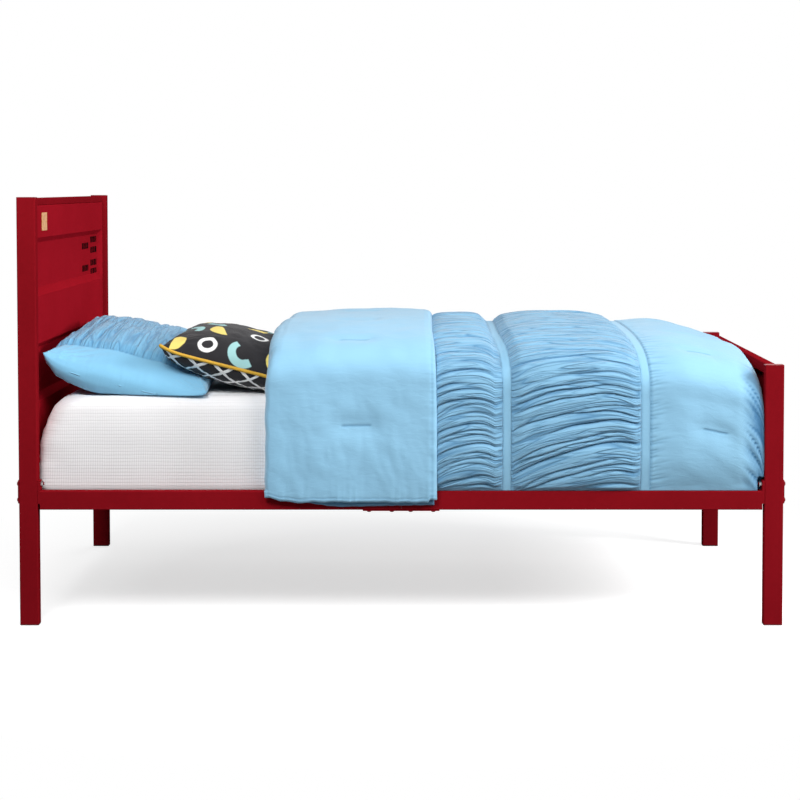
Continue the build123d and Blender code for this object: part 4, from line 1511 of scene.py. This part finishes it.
def make_fold():
    """The thick fold-over at the head end of the comforter."""
    half = rail_outer + 0.027
    head_reach, foot_reach = 0.04, 0.024
    first, last = comforter_low.x + head_reach, fold_edge - foot_reach
    straight = spaced(first, last, 0.0052, 0.003, [last], 0.012)
    head_edge = rounded(np.linspace(0, math.pi / 2, 15)[:-1], 2.8)
    foot_edge = rounded(np.linspace(math.pi / 2, 0, 10)[1:], 2.2)
    rows = [("head", comforter_low.x, out, up) for out, up in head_edge]
    rows += [("middle", x, 0.0, 1.0) for x in straight]
    rows += [("foot", fold_edge, out, up) for out, up in foot_edge]
    total = 2.06  # about the whole girth, hem to hem
    spots = spaced(0, total, 0.0036, 0.0022, [0, total], 0.03) / total
    outer, inner = np.empty((2, len(rows), len(spots), 3))
    flat = np.empty((len(rows), len(spots), 2))
    shade_and_seams = np.zeros((len(rows), len(spots)))
    for i, (part, x_side, out_share, up_share) in enumerate(rows):
        share = np.clip((x_side - comforter_low.x) / (fold_edge - comforter_low.x), 0, 1)
        crest = 0.18 + 0.01 * math.sin(share * math.pi / 1.25)
        corners = math.exp((x_side - fold_edge) / 0.012) + math.exp((comforter_low.x - x_side) / 0.014)
        wave = float(cloth_noise(np.array(x_side / 0.045), np.array(0.5), 76))
        hem_z = comforter_low.z + 0.005 * wave + 0.009 * corners
        y, z, out_y, out_z, v = girth(half, crest, half - 0.005, hem_z, spots)
        crown = ease(0.75 - np.abs(v), 0.0, 0.5)
        reach = 0.02 + (head_reach - 0.02) * ease(0.72 - np.abs(v), 0.0, 0.3)
        x = np.full(len(spots), float(x_side))
        if part == "head":
            x = x_side + reach * (1 - out_share)
        elif part == "foot":
            x = fold_edge - foot_reach * (1 - out_share)
        # On top the head edge and the foot edge both draw back a little
        x = x + 0.004 * crown * (1 - share) - 0.01 * crown * share
        x = x + 0.0035 * cloth_noise(v / 0.07, v / 0.9, 77) * (1 - share) ** 3
        height, shade_and_seams[i] = fold_surface(x, v)
        outer_y, outer_z = y + out_y * height, z + out_z * height
        inner_y, inner_z, hanging = fold_lining(x, y, z, half)
        flap = ease(x, fold_edge - 0.045, fold_edge - 0.036)
        thin = 0.013 + 0.012 * ease(0.7 - np.abs(v), 0.0, 0.3)
        inner_y = inner_y + (outer_y - out_y * thin - inner_y) * flap * ~hanging
        inner_z = inner_z + (outer_z - out_z * thin - inner_z) * flap * ~hanging
        # Both edges close in a round, and the foot's keeps some of its thickness
        least = 0.15 if part == "foot" else 0.0
        thickness = least + (1 - least) * up_share
        outer_y = inner_y + (outer_y - inner_y) * thickness
        outer_z = inner_z + (outer_z - inner_z) * thickness
        outer[i] = np.stack([x, outer_y, outer_z], axis=1)
        inner[i] = np.stack([x, inner_y, inner_z], axis=1)
        flat[i] = np.stack([x - 0.04 * out_share, v], axis=1)
    mesh = pad_piece(outer, inner, flat, np.minimum(shade_and_seams, 1))
    return add_piece("comforter_fold_over", mesh, [comforter_blue], ())


make_fold()

# %% [markdown]
# ## Comforter: the lining below the hem
#
# Where the comforter is folded back, its lower layer hangs a little further down than the upper one and
# shows as a deeper blue strip below the hem. That deeper blue is painted shade: the strip has a darker copy
# of the blue cotton and half the crease shade all over, because it hangs in the shade of the hem. It is a
# thin pad of its own on each side, so that its shadow line is real.


# %% Lining that shows below the hem
def make_under_layer(side):
    """The lower layer of the fold-over, a strip that hangs a little further down than the hem."""
    xs = np.linspace(-0.275, 0.088, 90)
    drops = np.linspace(0, 1, 12)
    outer, inner = np.empty((2, len(xs), len(drops), 3))
    flat = np.empty((len(xs), len(drops), 2))
    for i, x in enumerate(xs):
        share = (x - xs[0]) / (xs[-1] - xs[0])
        lowest = comforter_low.z + 0.006 - 0.022 * min(share / 0.3, 1) ** 0.6 * (1 - 0.35 * share)
        lowest += 0.0012 * float(cloth_noise(np.array(x / 0.02), np.array(0.5), 81))
        top = rail_top - 0.002
        z = top + (lowest - top) * drops
        swell = 0.0016 * cloth_noise(np.full(len(drops), x / 0.03), drops / 0.7, 82)
        edge = np.clip((1 - drops) / 0.2, 0, 1)
        thick = 0.0035 + 0.005 * np.sqrt(1 - (1 - edge) ** 2)
        place = np.full(len(drops), x)
        outer[i] = np.stack([place, side * (rail_outer + 0.0015 + thick + swell * edge), z], axis=1)
        inner[i] = np.stack([place, np.full(len(drops), side * (rail_outer + 0.001)), z], axis=1)
        flat[i] = np.stack([place, z], axis=1)
    # Half the crease shade is painted over the whole strip.
    mesh = pad_piece(outer, inner, flat, np.full((len(xs), len(drops)), 0.5))
    where = "right" if side < 0 else "left"
    return add_piece(f"comforter_lining_{where}", mesh, [shaded_lining_blue], ())


for side in (-1, 1):
    make_under_layer(side)

# %% [markdown]
# ## Plate and stencil marks on the headboard
#
# The headboard carries a small blank plate on its top band, held by two rivets, and black stencilled
# blocks in its upper field. They stand for no name or number. The paint of a stencil is thin, so each
# block is only a third of a millimetre proud of the steel.


# %% Plate and marks
def plate_finish(name):
    """Painted tin in a worn tan, with small cloudy patches."""
    material, tree, shader, places = new_material(name)
    place = places.outputs["Object"]
    cloud = use_group(tree, patches, place, size=0.012)
    tone = remap(tree, cloud.outputs["Tone"], 0.35, 0.65, 0, 1)
    colour = mix_colours(tree, tone, linear(222, 160, 92), linear(196, 132, 66))
    tree.links.new(colour, shader.inputs["Base Color"])
    surface(shader, roughness=0.5)
    return material


def stencil_paint(name):
    """Matt black stencil paint, a little thin in places."""
    material, tree, shader, places = new_material(name)
    cloud = use_group(tree, patches, places.outputs["Object"], size=0.008)
    tone = remap(tree, cloud.outputs["Tone"], 0.5, 0.75, 0, 1)
    colour = mix_colours(tree, tone, linear(12, 9, 10), linear(24, 12, 14))
    tree.links.new(colour, shader.inputs["Base Color"])
    surface(shader, roughness=0.7, specular=0.0)
    return material


def add_block(bm, low, high, bevel):
    """A box between two corners with bevelled edges, added to a bmesh."""
    made = bmesh.ops.create_cube(bm, size=1)["verts"]
    size = [b - a for a, b in zip(low, high)]
    middle = [(a + b) / 2 for a, b in zip(low, high)]
    bmesh.ops.scale(bm, verts=made, vec=size)
    bmesh.ops.translate(bm, verts=made, vec=middle)
    edges = {edge for vert in made for edge in vert.link_edges}
    bmesh.ops.bevel(bm, geom=list(edges), offset=bevel, affect="EDGES", segments=2, profile=0.5, material=-1)


field_depth = 0.013
face_x = panel_high.x
floor_x = face_x - field_depth


def make_plate():
    """The blank plate with a rivet at each end."""
    bm = bmesh.new()
    y_low, y_high, z_low, z_high = -0.398, -0.334, 1.048, 1.097
    add_block(bm, (face_x + 0.0001, y_low, z_low), (face_x + 0.0014, y_high, z_high), 0.0004)
    for y in (y_low + 0.006, y_high - 0.006):
        dome = bmesh.ops.create_uvsphere(bm, u_segments=16, v_segments=10, radius=0.0024)["verts"]
        bmesh.ops.scale(bm, verts=dome, vec=(0.5, 1, 1))
        bmesh.ops.translate(bm, verts=dome, vec=(face_x + 0.0014, y, (z_low + z_high) / 2))
    mesh = mesh_from(bm, "headboard_plate")
    return add_piece("headboard_plate", mesh, [plate_finish("plate_tan")])


def make_stencil():
    """Rows of plain upright blocks in two columns."""
    bm = bmesh.new()
    rows = [(0.23, 0.33, z) for z in (0.984, 0.915)]
    rows += [(0.364, 0.476, z) for z in (1.001, 0.968, 0.928, 0.900)]
    half_height, gap = 0.0095, 0.006
    widths = (0.016, 0.009, 0.02, 0.012, 0.016)
    for n, (y_low, y_high, z) in enumerate(rows):
        y, k = y_low, n
        while y + widths[k % len(widths)] <= y_high:
            width = widths[k % len(widths)]
            low = (floor_x + 0.0001, y, z - half_height)
            add_block(bm, low, (floor_x + 0.0004, y + width, z + half_height), 0.0001)
            y += width + gap
            k += 1
    mesh = mesh_from(bm, "headboard_stencil")
    return add_piece("headboard_stencil", mesh, [stencil_paint("stencil_black")])


make_plate()
make_stencil()
